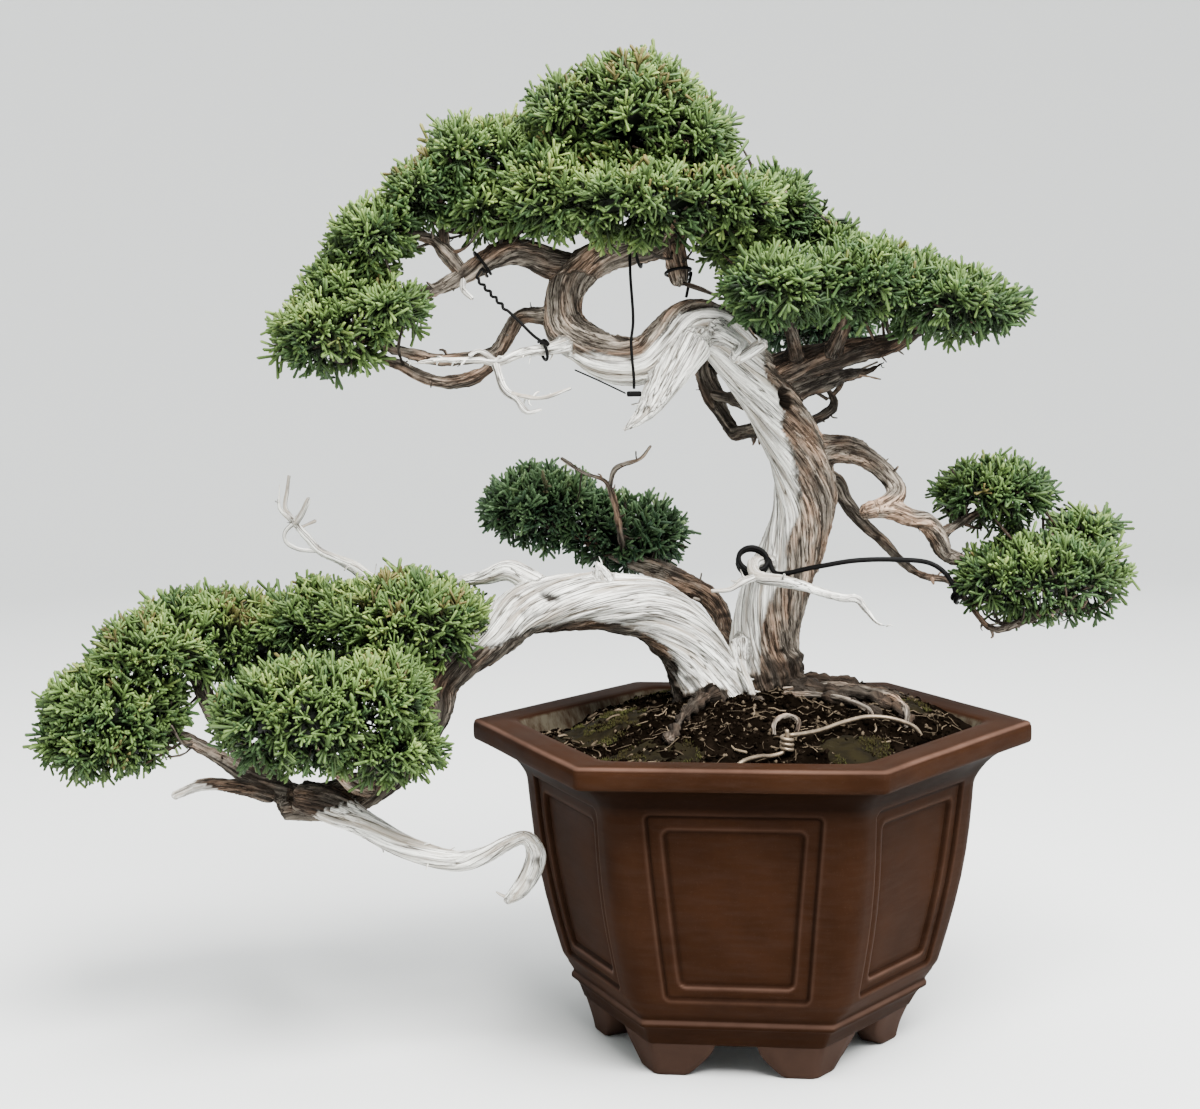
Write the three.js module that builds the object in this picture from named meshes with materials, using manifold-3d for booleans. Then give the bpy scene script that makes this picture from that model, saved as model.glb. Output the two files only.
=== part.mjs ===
// A shimpaku juniper bonsai in its six-sided unglazed pot.
// Millimetres, +Z up, +X to the viewer's right, +Y away from the viewer who faces the tree's front.
// Everything is placed from the centre of the pot's foot ring, on the ground. The last section then
// moves the whole tree so that the middle of its box stands over the origin.
import * as THREE from "three";
import { mergeVertices } from "three/addons/utils/BufferGeometryUtils.js";
import Module from "manifold-3d";

const wasm = await Module();
wasm.setup();

// Driving dimensions of the pot. A corner size is the distance from the pot's axis to a corner.
const POT_TURN = -7.5; // degrees from +X to the first corner
const POT_HEIGHT = 146;
const RIM_CORNER = 127;
const RIM_BAND = 9;
const RIM_WIDTH = 20; // measured along the corner line
const BODY_TOP = { z: 121, corner: 104.5 };
const BODY_FOOT = { z: 38, corner: 88.5 };
const RIDGE = { z: 26.5, corner: 82.5 };
const FOOT_TOP = { z: 15, corner: 75 };
const FOOT_CORNER = 70.5;
const FOOT_THICK = 13;
const FOOT_ARCH = [
  [21, 0],
  [17.5, 3],
  [13.5, 7],
  [10.5, 11],
  [9, 15],
]; // half the opening between two feet, from the ground up
const FLOOR_TOP = 25;
const WALL = 9.5; // measured along the corner line
const FLOOR_CORNER = 68; // the inside, where the floor meets the cove
const COVE_TOP = 40; // the inside, where the cove meets the wall
const FACES = 6;
const GROOVE = { bottom: 38.5, top: 122, footHalf: 31, topHalf: 37.7, wide: 2.4, deep: 1.4 }; // round the frame
const FIELD = { bottom: 45, top: 115.5, footHalf: 24.5, topHalf: 30.3, deep: 1.8 }; // sunk inside the frame
const GROOVE_CUT = 5; // how much of each corner is cut off
const FIELD_CUT = 4;

// Driving dimensions of the soil, the drain and the fits between neighbours.
const SOIL_EDGE = 138;
const MOUND = { centre: [22, 25, 128], half: [105, 100, 28] };
const DRAIN_RADIUS = 14;
const TIE_HOLE_RADIUS = 2.5;
const TIE_HOLES = [
  [-30, -32],
  [36, -32],
];
const MESH_SIDE = 44;
const MESH_THICK = 1.2;
const MESH_PITCH = 7;
const MESH_HOLE = 4.4;
const MESH_HOLES = 4; // along each side
const GAP = 0.3; // between pieces that touch on the real tree
const CLEAR = 0.4; // how much a neighbour is swollen before it cuts, so that GAP is left at its flats too

// Wire radii.
const GUY = 0.7;
const RING = 0.9;
const TIE = 0.85;
const LINE = 0.4;
const CLIP = 0.6;

// How finely round things are divided.
const WIRE_SIDES = 5;
const TURN_STEPS = 8;
const LARGE_LOBE = 22; // a foliage lobe longer than this gets more faces

const material = (color, roughness, metalness = 0) =>
  new THREE.MeshStandardMaterial({ color, roughness, metalness });
const clay = material(0x4a241b, 0.55);
const bark = material(0xb9aa98, 0.8);
const leaf = material(0x47762c, 0.6);
const leafShade = material(0x2c5a3a, 0.6);
const earth = material(0x2a1d14, 0.95);
const mossGreen = material(0x5a5b24, 0.95);
const blackWire = material(0x141414, 0.4, 0.3);
const paleWire = material(0xa59a88, 0.4, 0.8);
const blackPad = material(0x101010, 0.8);
const meshPlastic = material(0x22272a, 0.6);

// Solids

function solidOf(geometry) {
  const shape = geometry.clone();
  shape.deleteAttribute("normal");
  shape.deleteAttribute("uv");
  const merged = mergeVertices(shape);
  return new wasm.Manifold(
    new wasm.Mesh({
      numProp: 3,
      vertProperties: merged.getAttribute("position").array,
      triVerts: new Uint32Array(merged.index.array),
    }),
  );
}

function joined(solids) {
  return wasm.Manifold.union(solids);
}

// The largest body of a solid: the crumbs that a cut leaves behind are dropped.
function largest(solid) {
  return solid.decompose().reduce((a, b) => (b.volume() > a.volume() ? b : a));
}

const tree = new THREE.Group();

function addNode(name, solid, look) {
  const mesh = solid.getMesh();
  const geometry = new THREE.BufferGeometry();
  geometry.setAttribute("position", new THREE.BufferAttribute(mesh.vertProperties, 3));
  geometry.setIndex(new THREE.BufferAttribute(mesh.triVerts, 1));
  geometry.computeVertexNormals();
  const node = new THREE.Mesh(geometry, look);
  node.name = name;
  tree.add(node);
}

// A tapering limb. Each point is [x, y, z, radius]. The section is swept along the curve at a radius of
// 1 mm, and each ring is then opened out to the limb's own radius there. A swell makes it thicker and
// a little longer, for cutting its neighbours.
function limb(points, sides, swell = 0) {
  const knots = points.map(([x, y, z]) => new THREE.Vector3(x, y, z));
  const path = new THREE.CatmullRomCurve3(knots, false, "centripetal");
  const steps = Math.max(2, points.length - 1);
  const corners = Array.from({ length: sides }, (_, i) => {
    const angle = (2 * Math.PI * i) / sides;
    return new THREE.Vector2(Math.cos(angle), Math.sin(angle));
  });
  const geometry = new THREE.ExtrudeGeometry(new THREE.Shape(corners), { steps, extrudePath: path });
  const centres = path.getSpacedPoints(steps);
  const radii = centres.map((_, i) => {
    const at = path.getUtoTmapping(i / steps) * (points.length - 1);
    const before = Math.min(Math.floor(at), points.length - 2);
    return THREE.MathUtils.lerp(points[before][3], points[before + 1][3], at - before) + swell;
  });
  const moves = centres.map(() => new THREE.Vector3());
  moves[0].addScaledVector(path.getTangentAt(0), -swell);
  moves[steps].addScaledVector(path.getTangentAt(1), swell);
  const position = geometry.getAttribute("position");
  const vertex = new THREE.Vector3();
  for (let i = 0; i < position.count; i++) {
    vertex.fromBufferAttribute(position, i);
    const ring = centres.reduce(
      (best, centre, j) => (centre.distanceToSquared(vertex) < centres[best].distanceToSquared(vertex) ? j : best),
      0,
    );
    vertex.sub(centres[ring]).multiplyScalar(radii[ring]).add(centres[ring]).add(moves[ring]);
    position.setXYZ(i, vertex.x, vertex.y, vertex.z);
  }
  return solidOf(geometry);
}

// A wire of one thickness along points chosen by hand.
function wire(points, radius, swell = 0) {
  const withRadius = points.map(([x, y, z]) => [x, y, z, radius]);
  return limb(withRadius, WIRE_SIDES, swell);
}

// Points of a wire that turns round an axis: the centre of the first turn, the axis, the turn's radius,
// how many turns, the rise of each turn and the direction in which it starts.
function turnsRound(centre, axis, radius, turns, rise, start) {
  const along = new THREE.Vector3(...axis).normalize();
  const out = new THREE.Vector3(...start).projectOnPlane(along).normalize();
  const side = new THREE.Vector3().crossVectors(along, out);
  const count = Math.round(Math.abs(turns) * TURN_STEPS);
  return Array.from({ length: count + 1 }, (_, i) => {
    const angle = (Math.sign(turns) * 2 * Math.PI * i) / TURN_STEPS;
    return new THREE.Vector3(...centre)
      .addScaledVector(out, radius * Math.cos(angle))
      .addScaledVector(side, radius * Math.sin(angle))
      .addScaledVector(along, (rise * i) / TURN_STEPS)
      .toArray();
  });
}

function ellipsoid([x, y, z], [a, b, c], swell, around, bands) {
  const ball = new THREE.SphereGeometry(1, around, bands);
  ball.rotateX(Math.PI / 2);
  ball.scale(a + swell, b + swell, c + swell);
  ball.translate(x, y, z);
  return solidOf(ball);
}

// A solid of revolution with six flat sides, from [corner distance, height] points.
function sixSided(profile) {
  const points = profile.map(([corner, z]) => new THREE.Vector2(corner, z));
  const turned = new THREE.LatheGeometry(points, FACES, THREE.MathUtils.degToRad(90 + POT_TURN));
  turned.rotateX(Math.PI / 2);
  return solidOf(turned);
}

function plate(shape, depth) {
  return new THREE.ExtrudeGeometry(shape, { depth, bevelEnabled: false, curveSegments: 4 });
}

function upright(radius, [x, y], low, high, around = 16) {
  const rod = new THREE.CylinderGeometry(radius, radius, high - low, around);
  rod.rotateX(Math.PI / 2);
  rod.translate(x, y, (low + high) / 2);
  return solidOf(rod);
}

// Pot

const bodySlope = (BODY_TOP.corner - BODY_FOOT.corner) / (BODY_TOP.z - BODY_FOOT.z);
const faceShare = Math.cos(Math.PI / FACES); // flat's distance from the axis for each unit of corner distance
const rimBottom = POT_HEIGHT - RIM_BAND;

const bodyCornerAt = (z) => BODY_FOOT.corner + (z - BODY_FOOT.z) * bodySlope;

// The inside of the pot from the middle of its floor to its rim, drawn in by an inset.
const cavityProfile = (inset) => [
  [0, FLOOR_TOP + inset],
  [FLOOR_CORNER - inset, FLOOR_TOP + inset],
  [bodyCornerAt(COVE_TOP) - WALL - 2 - inset, COVE_TOP],
  [BODY_TOP.corner - WALL - inset, BODY_TOP.z],
  [RIM_CORNER - RIM_WIDTH - 3 - inset, rimBottom],
  [RIM_CORNER - RIM_WIDTH - inset, POT_HEIGHT],
];

function potShell() {
  const base = [
    [0, FOOT_TOP.z],
    [FOOT_TOP.corner, FOOT_TOP.z],
    [FOOT_TOP.corner + 3, FOOT_TOP.z + 7],
  ];
  const ridge = [
    [RIDGE.corner, RIDGE.z - 1.5],
    [RIDGE.corner, RIDGE.z + 1],
  ];
  const body = [
    [BODY_FOOT.corner - 2, BODY_FOOT.z - 5],
    [BODY_FOOT.corner, BODY_FOOT.z],
    [BODY_TOP.corner, BODY_TOP.z],
  ];
  const flare = [
    [BODY_TOP.corner + 3, BODY_TOP.z + 5],
    [BODY_TOP.corner + 13, rimBottom - 1],
  ];
  const rim = [
    [RIM_CORNER - 1, rimBottom],
    [RIM_CORNER, rimBottom + 1.5],
    [RIM_CORNER, POT_HEIGHT - 1],
    [RIM_CORNER - 1.5, POT_HEIGHT],
  ];
  return sixSided([...base, ...ridge, ...body, ...flare, ...rim, ...cavityProfile(0).reverse()]);
}

// A rectangle whose corners are cut off, widening from its foot to its top and drawn in by an inset.
function panelOutline(ring, size, inset, cut) {
  const bottom = size.bottom + inset;
  const top = size.top - inset;
  const footHalf = size.footHalf - inset;
  const topHalf = size.topHalf - inset;
  ring.moveTo(-footHalf + cut, bottom);
  ring.lineTo(footHalf - cut, bottom);
  ring.lineTo(footHalf, bottom + cut);
  ring.lineTo(topHalf, top - cut);
  ring.lineTo(topHalf - cut, top);
  ring.lineTo(-topHalf + cut, top);
  ring.lineTo(-topHalf, top - cut);
  ring.lineTo(-footHalf, bottom + cut);
  ring.closePath();
  return ring;
}

// The cutters of one face's panel: a groove round the raised frame, and the sunk field inside it.
// They lie against the face, which leans outwards, and reach in by the depth that they cut.
function panelCutters(face) {
  const lean = Math.atan(bodySlope * faceShare);
  const outline = panelOutline(new THREE.Shape(), GROOVE, 0, GROOVE_CUT);
  outline.holes.push(panelOutline(new THREE.Path(), GROOVE, GROOVE.wide, FIELD_CUT));
  const field = panelOutline(new THREE.Shape(), FIELD, 0, FIELD_CUT);
  const stock = 6;
  return [
    [outline, GROOVE.deep],
    [field, FIELD.deep],
  ].map(([shape, deep]) => {
    const cutter = plate(shape, stock);
    cutter.translate(0, -BODY_FOOT.z, -deep);
    cutter.rotateX(Math.PI / 2 + lean);
    cutter.rotateZ(Math.PI / 2);
    cutter.translate(BODY_FOOT.corner * faceShare, 0, BODY_FOOT.z);
    cutter.rotateZ(THREE.MathUtils.degToRad(POT_TURN + 30 + (360 / FACES) * face));
    return solidOf(cutter);
  });
}

// The ring under the floor, opened at each face so that six bracket feet are left at the corners.
function footRing() {
  const root = FOOT_TOP.z + 1;
  const ring = sixSided([
    [FOOT_CORNER - FOOT_THICK, 0],
    [FOOT_CORNER, 0],
    [FOOT_TOP.corner, root],
    [FOOT_TOP.corner - FOOT_THICK - 4, root],
    [FOOT_CORNER - FOOT_THICK, 0],
  ]);
  const rightSide = [[FOOT_ARCH[0][0], -1], ...FOOT_ARCH];
  const leftSide = rightSide.map(([half, z]) => [-half, z]).reverse();
  const arch = new THREE.Shape([...rightSide, ...leftSide].map(([u, v]) => new THREE.Vector2(u, v)));
  const arches = Array.from({ length: FACES }, (_, face) => {
    const cutter = plate(arch, 60);
    cutter.rotateX(Math.PI / 2);
    cutter.rotateZ(Math.PI / 2);
    cutter.translate(FOOT_CORNER / 2, 0, 0);
    cutter.rotateZ(THREE.MathUtils.degToRad(POT_TURN + 30 + (360 / FACES) * face));
    return solidOf(cutter);
  });
  return ring.subtract(joined(arches));
}

function pot() {
  const cutters = Array.from({ length: FACES }, (_, face) => panelCutters(face)).flat();
  const holes = [
    upright(DRAIN_RADIUS, [0, 0], FOOT_TOP.z - 5, FLOOR_TOP + 5),
    ...TIE_HOLES.map((place) => upright(TIE_HOLE_RADIUS, place, FOOT_TOP.z - 5, FLOOR_TOP + 5, 10)),
  ];
  return joined([potShell(), footRing()]).subtract(joined([...cutters, ...holes]));
}

// Wood. Each point is [x, y, z, radius], from the limb's root to its tip.

const LIMBS = {
  main_trunk: [
    [10, 40, 126, 21], [11, 42, 145, 18], [12, 41, 160, 16.5], [12, 41, 175, 15.5], [16, 39, 195, 14.8],
    [26, 35, 224, 13.8], [31, 31, 244, 13.5], [28, 27, 263, 12.7], [22, 24, 277, 12.2], [12, 19, 294, 11.5],
    [0, 13, 310, 10.7], [-11, 8, 323, 10.4], [-23, 4, 326, 10.2], [-34, 0, 318, 9.9], [-46, -3, 310, 10.1],
    [-58, -4, 311, 9.9], [-70, -3, 317, 9], [-79, -1, 326, 7.9], [-80, 1, 335, 7.2], [-77, 3, 345, 7.7],
    [-70, 5, 353, 7.5],
  ],
  left_trunk: [
    [-4, 32, 130, 19], [-11, 30, 146, 17.6], [-16, 29, 161, 15.8], [-25, 26, 180, 14.3], [-40, 22, 194, 13.8],
    [-56, 18, 199, 12.8], [-72, 14, 201, 12.3], [-88, 10, 200, 11.8], [-102, 7, 196, 10.9], [-113, 4, 188, 9.9],
    [-127, 2, 178, 9.3], [-140, 2, 166, 9], [-144, 2, 153, 9], [-151, 2, 141, 8.8], [-159, 2, 129, 8.5],
    [-171, 3, 118, 8.1], [-190, 3, 111, 7.7], [-211, 3, 110, 6.5],
  ],
  crown_branch: [
    [-76, 4, 349, 7.7], [-63, 4, 357, 6.8], [-52, 2, 360, 6.5], [-41, 0, 362, 6.3], [-30, -2, 367, 5.4],
    [-21, -5, 379, 4.5], [-20, -8, 394, 3.1], [-27, -10, 411, 1.8],
  ],
  crown_left_inner: [[-58, 3, 359, 4.5], [-63, 0, 375, 3.2], [-69, -5, 393, 2], [-80, -8, 408, 1.3]],
  crown_stub: [[-32, 0, 366, 4.5], [-29, -4, 354, 4.3], [-28, -6, 345, 3.6]],
  crown_right_inner: [[-24, -4, 376, 3.6], [-10, -5, 383, 2.7], [8, -5, 387, 1.8], [27, 5, 381, 1.4]],
  crown_right_low: [[-23, -4, 373, 3], [-11, 6, 369, 2], [1, 12, 365, 1.4]],
  crown_back_riser: [[-57, 3, 358, 4], [-58, 17, 373, 3], [-55, 31, 396, 1.8]],
  crown_left_riser: [[-98, 1, 359, 3], [-104, 4, 374, 2], [-107, 9, 398, 1.2]],
  crown_left_branch: [
    [-71, 5, 351, 6.3], [-85, 4, 354, 6.1], [-94, 2, 358, 5.6], [-102, 0, 360, 5.2], [-112, -2, 357, 4.5],
    [-123, -3, 350, 3.8], [-135, -4, 344, 2.9], [-147, -6, 340, 2.2], [-163, -8, 337, 1.6],
  ],
  shoulder_branch: [
    [-124, -3, 350, 2.9], [-132, -3, 360, 2.9], [-137, -2, 365, 2.2], [-150, -2, 368, 1.6], [-163, -2, 366, 1.1],
  ],
  shoulder_riser: [[-132, -3, 358, 2.2], [-133, 0, 369, 2], [-134, 2, 383, 1.6], [-127, 4, 399, 1.1]],
  crown_left_spur: [[-124, -5, 348, 1.4], [-124, -8, 343, 1], [-120, -10, 339, 0.7]],
  loop_branch: [
    [-80, 0, 331, 4.5], [-89, 2, 331, 3.8], [-99, 6, 331, 3.4], [-105, 8, 323, 3.4], [-111, 8, 315, 3.2],
    [-122, 6, 313, 2.7], [-136, 4, 312, 2.5], [-148, 0, 315, 2.3], [-162, -4, 319, 2], [-177, -8, 324, 1.3],
  ],
  loop_branch_lower: [
    [-109, 8, 318, 2.7], [-113, 6, 309, 2.7], [-121, 3, 304, 2.7], [-133, 0, 302, 2.7], [-144, -3, 305, 2.5],
    [-153, -6, 310, 2.2], [-170, -9, 316, 1.3],
  ],
  upper_jin: [
    [-74, -6, 319, 3.8], [-88, -12, 316, 2.7], [-98, -15, 315, 2.2], [-109, -17, 311, 2], [-117, -18, 312, 1.5],
    [-128, -18, 312, 1.3], [-138, -17, 312, 1.3], [-149, -16, 310, 0.7],
  ],
  upper_jin_spur: [[-109, -17, 311, 1.3], [-117, -19, 316, 0.9], [-121, -20, 314, 0.7]],
  upper_jin_drop: [
    [-110, -17, 311, 1.8], [-106, -20, 299, 1.5], [-101, -21, 295, 1.3], [-96, -22, 289, 1.1], [-90, -22, 290, 0.7],
  ],
  upper_jin_fork: [[-103, -21, 297, 1.1], [-90, -20, 295, 0.9], [-77, -18, 299, 0.7]],
  big_jin: [
    [-22, -3, 318, 8.5], [-32, -9, 306, 7.4], [-39, -12, 296, 6], [-44, -14, 288, 4], [-50, -16, 283, 2.2],
    [-54, -16, 280, 0.9],
  ],
  top_jin: [[-13, 2, 324, 5.9], [-6, -10, 320, 3.1], [0, -16, 315, 2.7], [-4, -19, 312, 2.2]],
  top_peg: [[-3, -18, 312, 2], [6, -24, 317, 2]],
  behind_branch: [
    [17, 28, 278, 3.9], [4, 46, 276, 3.3], [0, 52, 275, 3.3], [-6, 58, 284, 3.3], [-10, 62, 292, 4.6],
    [-13, 66, 304, 4.3], [-8, 70, 317, 3.6], [6, 74, 326, 2.9], [33, 78, 328, 2.2],
  ],
  behind_branch_second: [[14, 22, 286, 2.9], [2, 44, 290, 2.8], [-9, 60, 293, 2.9]],
  right_limb_upper: [
    [10, 16, 303, 7], [28, 20, 308, 6.4], [51, 22, 313, 5.4], [70, 15, 317, 3.8], [82, 2, 324, 2.6],
    [95, -9, 332, 1.8], [106, -14, 335, 1.3],
  ],
  right_limb_lower: [[18, 20, 294, 6], [36, 26, 299, 5], [50, 32, 302, 3.6], [61, 34, 304, 2.2]],
  right_limb_riser: [[41, 20, 311, 3.7], [47, 8, 325, 3], [50, -5, 341, 2.2], [56, -10, 354, 1.3]],
  right_limb_left: [[26, 18, 309, 3.7], [21, 0, 326, 2.7], [14, -15, 337, 2], [6, -22, 343, 1.3]],
  right_twig: [[27, 25, 279, 2.4], [42, 32, 285, 2.1], [45, 36, 290, 1.9], [42, 38, 296, 0.9], [40, 40, 304, 0.7]],
  right_loop: [
    [30, 28, 266, 7], [42, 26, 268, 6.2], [50, 22, 268, 5.5], [59, 16, 264, 4.3], [67, 10, 256, 3.9],
    [70, 4, 249, 3.8], [63, -4, 244, 3.8], [53, -8, 242, 3.3],
  ],
  right_loop_return: [
    [59, -6, 243, 3.6], [67, -3, 242, 4], [75, 0, 238, 3.8], [83, 4, 236, 3.8], [89, 8, 229, 4.1],
    [93, 12, 221, 3.4], [103, 15, 217, 2.5], [119, 18, 219, 1.8], [134, 20, 225, 1.4],
  ],
  right_loop_riser: [[89, 8, 229, 2.3], [103, 18, 235, 1.8], [121, 26, 244, 1.4]],
  right_back_twig: [[119, 18, 219, 1.8], [140, 26, 226, 1.4], [160, 33, 231, 1.1]],
  right_lower: [
    [32, 34, 253, 4.4], [46, 36, 253, 3.3], [50, 36, 244, 3.3], [58, 32, 233, 3], [67, 28, 225, 2.5],
    [75, 22, 216, 2.1], [83, 16, 210, 1.8], [95, 8, 208, 1.8], [104, 0, 196, 1.6], [111, -4, 188, 1.6],
    [117, -6, 188, 1.8], [124, -8, 191, 2], [132, -8, 194, 1.8], [136, -6, 201, 1.3], [138, -4, 212, 1.1],
  ],
  right_lower_end: [[130, -8, 194, 1.3], [142, -8, 196, 0.9], [150, -8, 196, 0.7]],
  back_branch: [
    [6, 44, 170, 6.4], [-4, 54, 176, 4.8], [-7, 62, 187, 4.3], [-13, 70, 195, 4.8], [-24, 78, 201, 4.9],
    [-36, 86, 206, 4.7], [-50, 94, 211, 3.7], [-67, 102, 218, 2.7], [-90, 108, 227, 2], [-105, 112, 235, 1.3],
  ],
  back_branch_right: [[-40, 88, 207, 2.9], [-37, 100, 216, 2.2], [-40, 108, 224, 1.5]],
  back_twig: [
    [-53, 95, 213, 1.8], [-55, 78, 226, 1.6], [-58, 68, 243, 1.3], [-62, 66, 252, 1.1], [-72, 67, 256, 0.8],
    [-83, 70, 263, 0.6],
  ],
  back_twig_right: [[-60, 67, 248, 1.2], [-57, 64, 258, 1], [-45, 62, 263, 0.8], [-40, 60, 269, 0.6]],
  front_jin: [
    [16, 28, 215, 3.4], [9, 19, 217, 2.8], [5, 11, 216.5, 2.7], [6, 5, 212, 2.8], [18, 0, 210, 2.7],
    [27, -3, 208, 2.3], [36, -6, 205, 2], [45, -9, 203, 2], [50, -10, 203, 2], [54, -11, 198, 1.6],
    [59, -12, 192, 1.1], [65, -12, 190, 0.6],
  ],
  front_jin_left: [[7, 5, 212, 2], [-1, 0, 210, 1.6], [-7, -4, 207, 1.3], [-15, -7, 207, 0.7]],
  left_jin: [
    [-90, 10, 203, 5], [-100, 14, 213, 3.9], [-107, 17, 216, 3.4], [-120, 22, 211, 2.1], [-133, 26, 210, 1.6],
    [-144, 28, 207, 1.2],
  ],
  far_jin: [
    [-135, 5, 171, 4.6], [-143, 16, 187, 4.1], [-154, 24, 198, 3.8], [-165, 28, 206, 3.4], [-174, 30, 211, 3.1],
    [-180, 30, 216, 2.9], [-188, 30, 220, 2.3], [-196, 29, 224, 2.1], [-200, 28, 229, 2.1], [-204, 27, 234, 1.9],
    [-208, 26, 239, 1.8], [-213, 25, 244, 1.2], [-213, 24, 251, 0.9], [-212, 24, 257, 0.7],
  ],
  far_jin_second: [[-207, 26, 238, 1.4], [-211, 28, 244, 0.9], [-210, 29, 252, 0.9], [-209, 30, 259, 0.8]],
  far_jin_third: [[-206, 26, 237, 1.2], [-202, 24, 243, 1.2], [-199, 22, 249, 0.9]],
  far_jin_fourth: [[-204, 27, 235, 0.8], [-197, 28, 238, 0.7]],
  far_jin_loop: [
    [-196, 29, 224, 1], [-205, 27, 225, 0.9], [-211, 26, 229, 0.9], [-211, 26, 233, 0.9], [-206, 26, 238, 0.9],
  ],
  spike: [[-58, 16, 205, 4.4], [-62, 10, 213, 2], [-66, 6, 219, 0.7]],
  low_jin: [
    [-203, -1, 114, 5.8], [-186, -9, 110, 5.8], [-170, -14, 102, 5.3], [-152, -18, 93, 4.9], [-130, -22, 88, 4.2],
    [-118, -26, 92, 3.7], [-106, -30, 99, 3.1], [-99, -32, 101, 3], [-95, -34, 94, 3.4], [-97, -35, 86, 3.2],
    [-103, -36, 77, 2.2], [-107, -36, 73, 1.1],
  ],
  low_left_branch: [
    [-204, 3, 112, 5], [-227, 4, 122, 4.1], [-243, 5, 133, 3.4], [-259, 6, 142, 2.5], [-277, 6, 149, 1.6],
  ],
  low_left_dark: [[-208, 6, 111, 5], [-230, 16, 130, 4.6], [-246, 21, 150, 4], [-254, 24, 167, 2.8], [-257, 26, 178, 1.6]],
  low_back_riser: [[-162, 4, 122, 3.8], [-192, 22, 138, 3.2], [-221, 32, 158, 2.3], [-238, 36, 174, 1.4]],
  low_front_limb: [[-170, 2, 117, 4.6], [-179, -18, 125, 3.5], [-187, -34, 140, 2.6], [-193, -42, 152, 1.5]],
  low_top_riser: [[-141, 2, 162, 3.6], [-148, 4, 175, 2.7], [-158, 4, 187, 1.8]],
  low_stub: [[-217, 0, 114, 3.2], [-232, -8, 120, 2], [-244, -11, 123, 1.8], [-254, -14, 120, 1.6]],
  root_right: [
    [16, 38, 152, 6], [28, 26, 157, 2.8], [40, 18, 157, 2.1], [52, 10, 157, 2], [63, 0, 154, 2],
    [71, -10, 150, 1.8], [74, -18, 145, 1.6],
  ],
  root_right_back: [
    [18, 44, 152, 6], [31, 46, 157, 2.8], [43, 44, 157, 2.4], [55, 40, 155, 2.1], [73, 32, 151, 1.9],
    [86, 20, 144, 1.7],
  ],
  root_right_low: [[20, 32, 150, 4], [30, 14, 155, 2.3], [47, -4, 155, 1.6], [60, -16, 151, 1.3]],
  root_left: [
    [-8, 26, 152, 6], [-16, 12, 156, 4], [-20, 2, 156, 2.7], [-27, -12, 153, 2], [-33, -30, 148, 1.7],
    [-36, -40, 145, 1.4],
  ],
  root_front: [[8, 32, 150, 5], [4, 16, 153, 2], [14, 2, 153, 1.5], [24, -6, 150, 1.2]],
  white_tail: [[0, 30, 178, 4.5], [0, 22, 168, 2.6], [4, 16, 158, 1.8], [6, 13, 151, 1.3]],
};

function limbSides(points) {
  const thickest = Math.max(...points.map((point) => point[3]));
  if (thickest > 9) return 10;
  return thickest > 3.2 ? 6 : 5;
}

function treeWood(swell = 0) {
  return joined(Object.values(LIMBS).map((points) => limb(points, limbSides(points), swell)));
}

// Wires

// The guy from the left crown branch to the dead branch, looped on both.
const guyLeftRoute = [
  ...turnsRound([-115, -2.4, 355], [-11, -1, -7], 6, 1.25, 1.9, [0, 0.3, -1]),
  [-114, -14, 343],
  [-108, -16, 337],
  [-100, -17, 329],
  [-93, -17, 322],
  ...turnsRound([-87.5, -11.8, 316.1], [-14, -6, -3], 4.4, 1.25, 1.8, [0, -1, 0.4]),
];

// The guy from the crown branch over the front of the dip, down to its pad.
const guyCentreRoute = [
  ...turnsRound([-45.5, 0.8, 361.3], [-11, 2, -2], 9.1, -1.25, 1.7, [0, 1, 0.2]),
  [-50, -12, 350],
  [-49, -15, 328],
  [-50, -16, 319],
  [-49, -16.5, 303],
  [-49, -16.5, 298.6],
];

const returnRoute = [
  [-52.8, -17, 296.5],
  [-64, -15.5, 302],
  [-75, -12.5, 307],
];

const hookRoute = [
  ...turnsRound([-28.5, -5.1, 348.6], [-0.1, 0.22, 1], 5.7, 1.25, 1.7, [1, 0, 0]).reverse(),
  [-24, -7, 344],
  [-25, -3, 338.6],
];

// The ring on the front jin, and its run to the right branch.
const ringRoute = [
  ...turnsRound([5, 16.5, 217], [0, -1, 0], 7.2, 2.5, 2.3, [-1, 0, 0]),
  [15, 8, 213],
  [32, 2, 216],
  [50, 0, 219],
  [69, 2, 219],
  [85, 3, 217],
  [92, 1, 212],
  ...turnsRound([98.5, 4.8, 203.4], [9, -8, -12], 4, 1.25, 2.2, [-0.6, -0.8, 0.1]),
];

const shapingRoute = turnsRound([-12.4, 66.6, 305.5], [5, 4, 13], 6.4, 2.5, 3.4, [0, -1, 0]);

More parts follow.
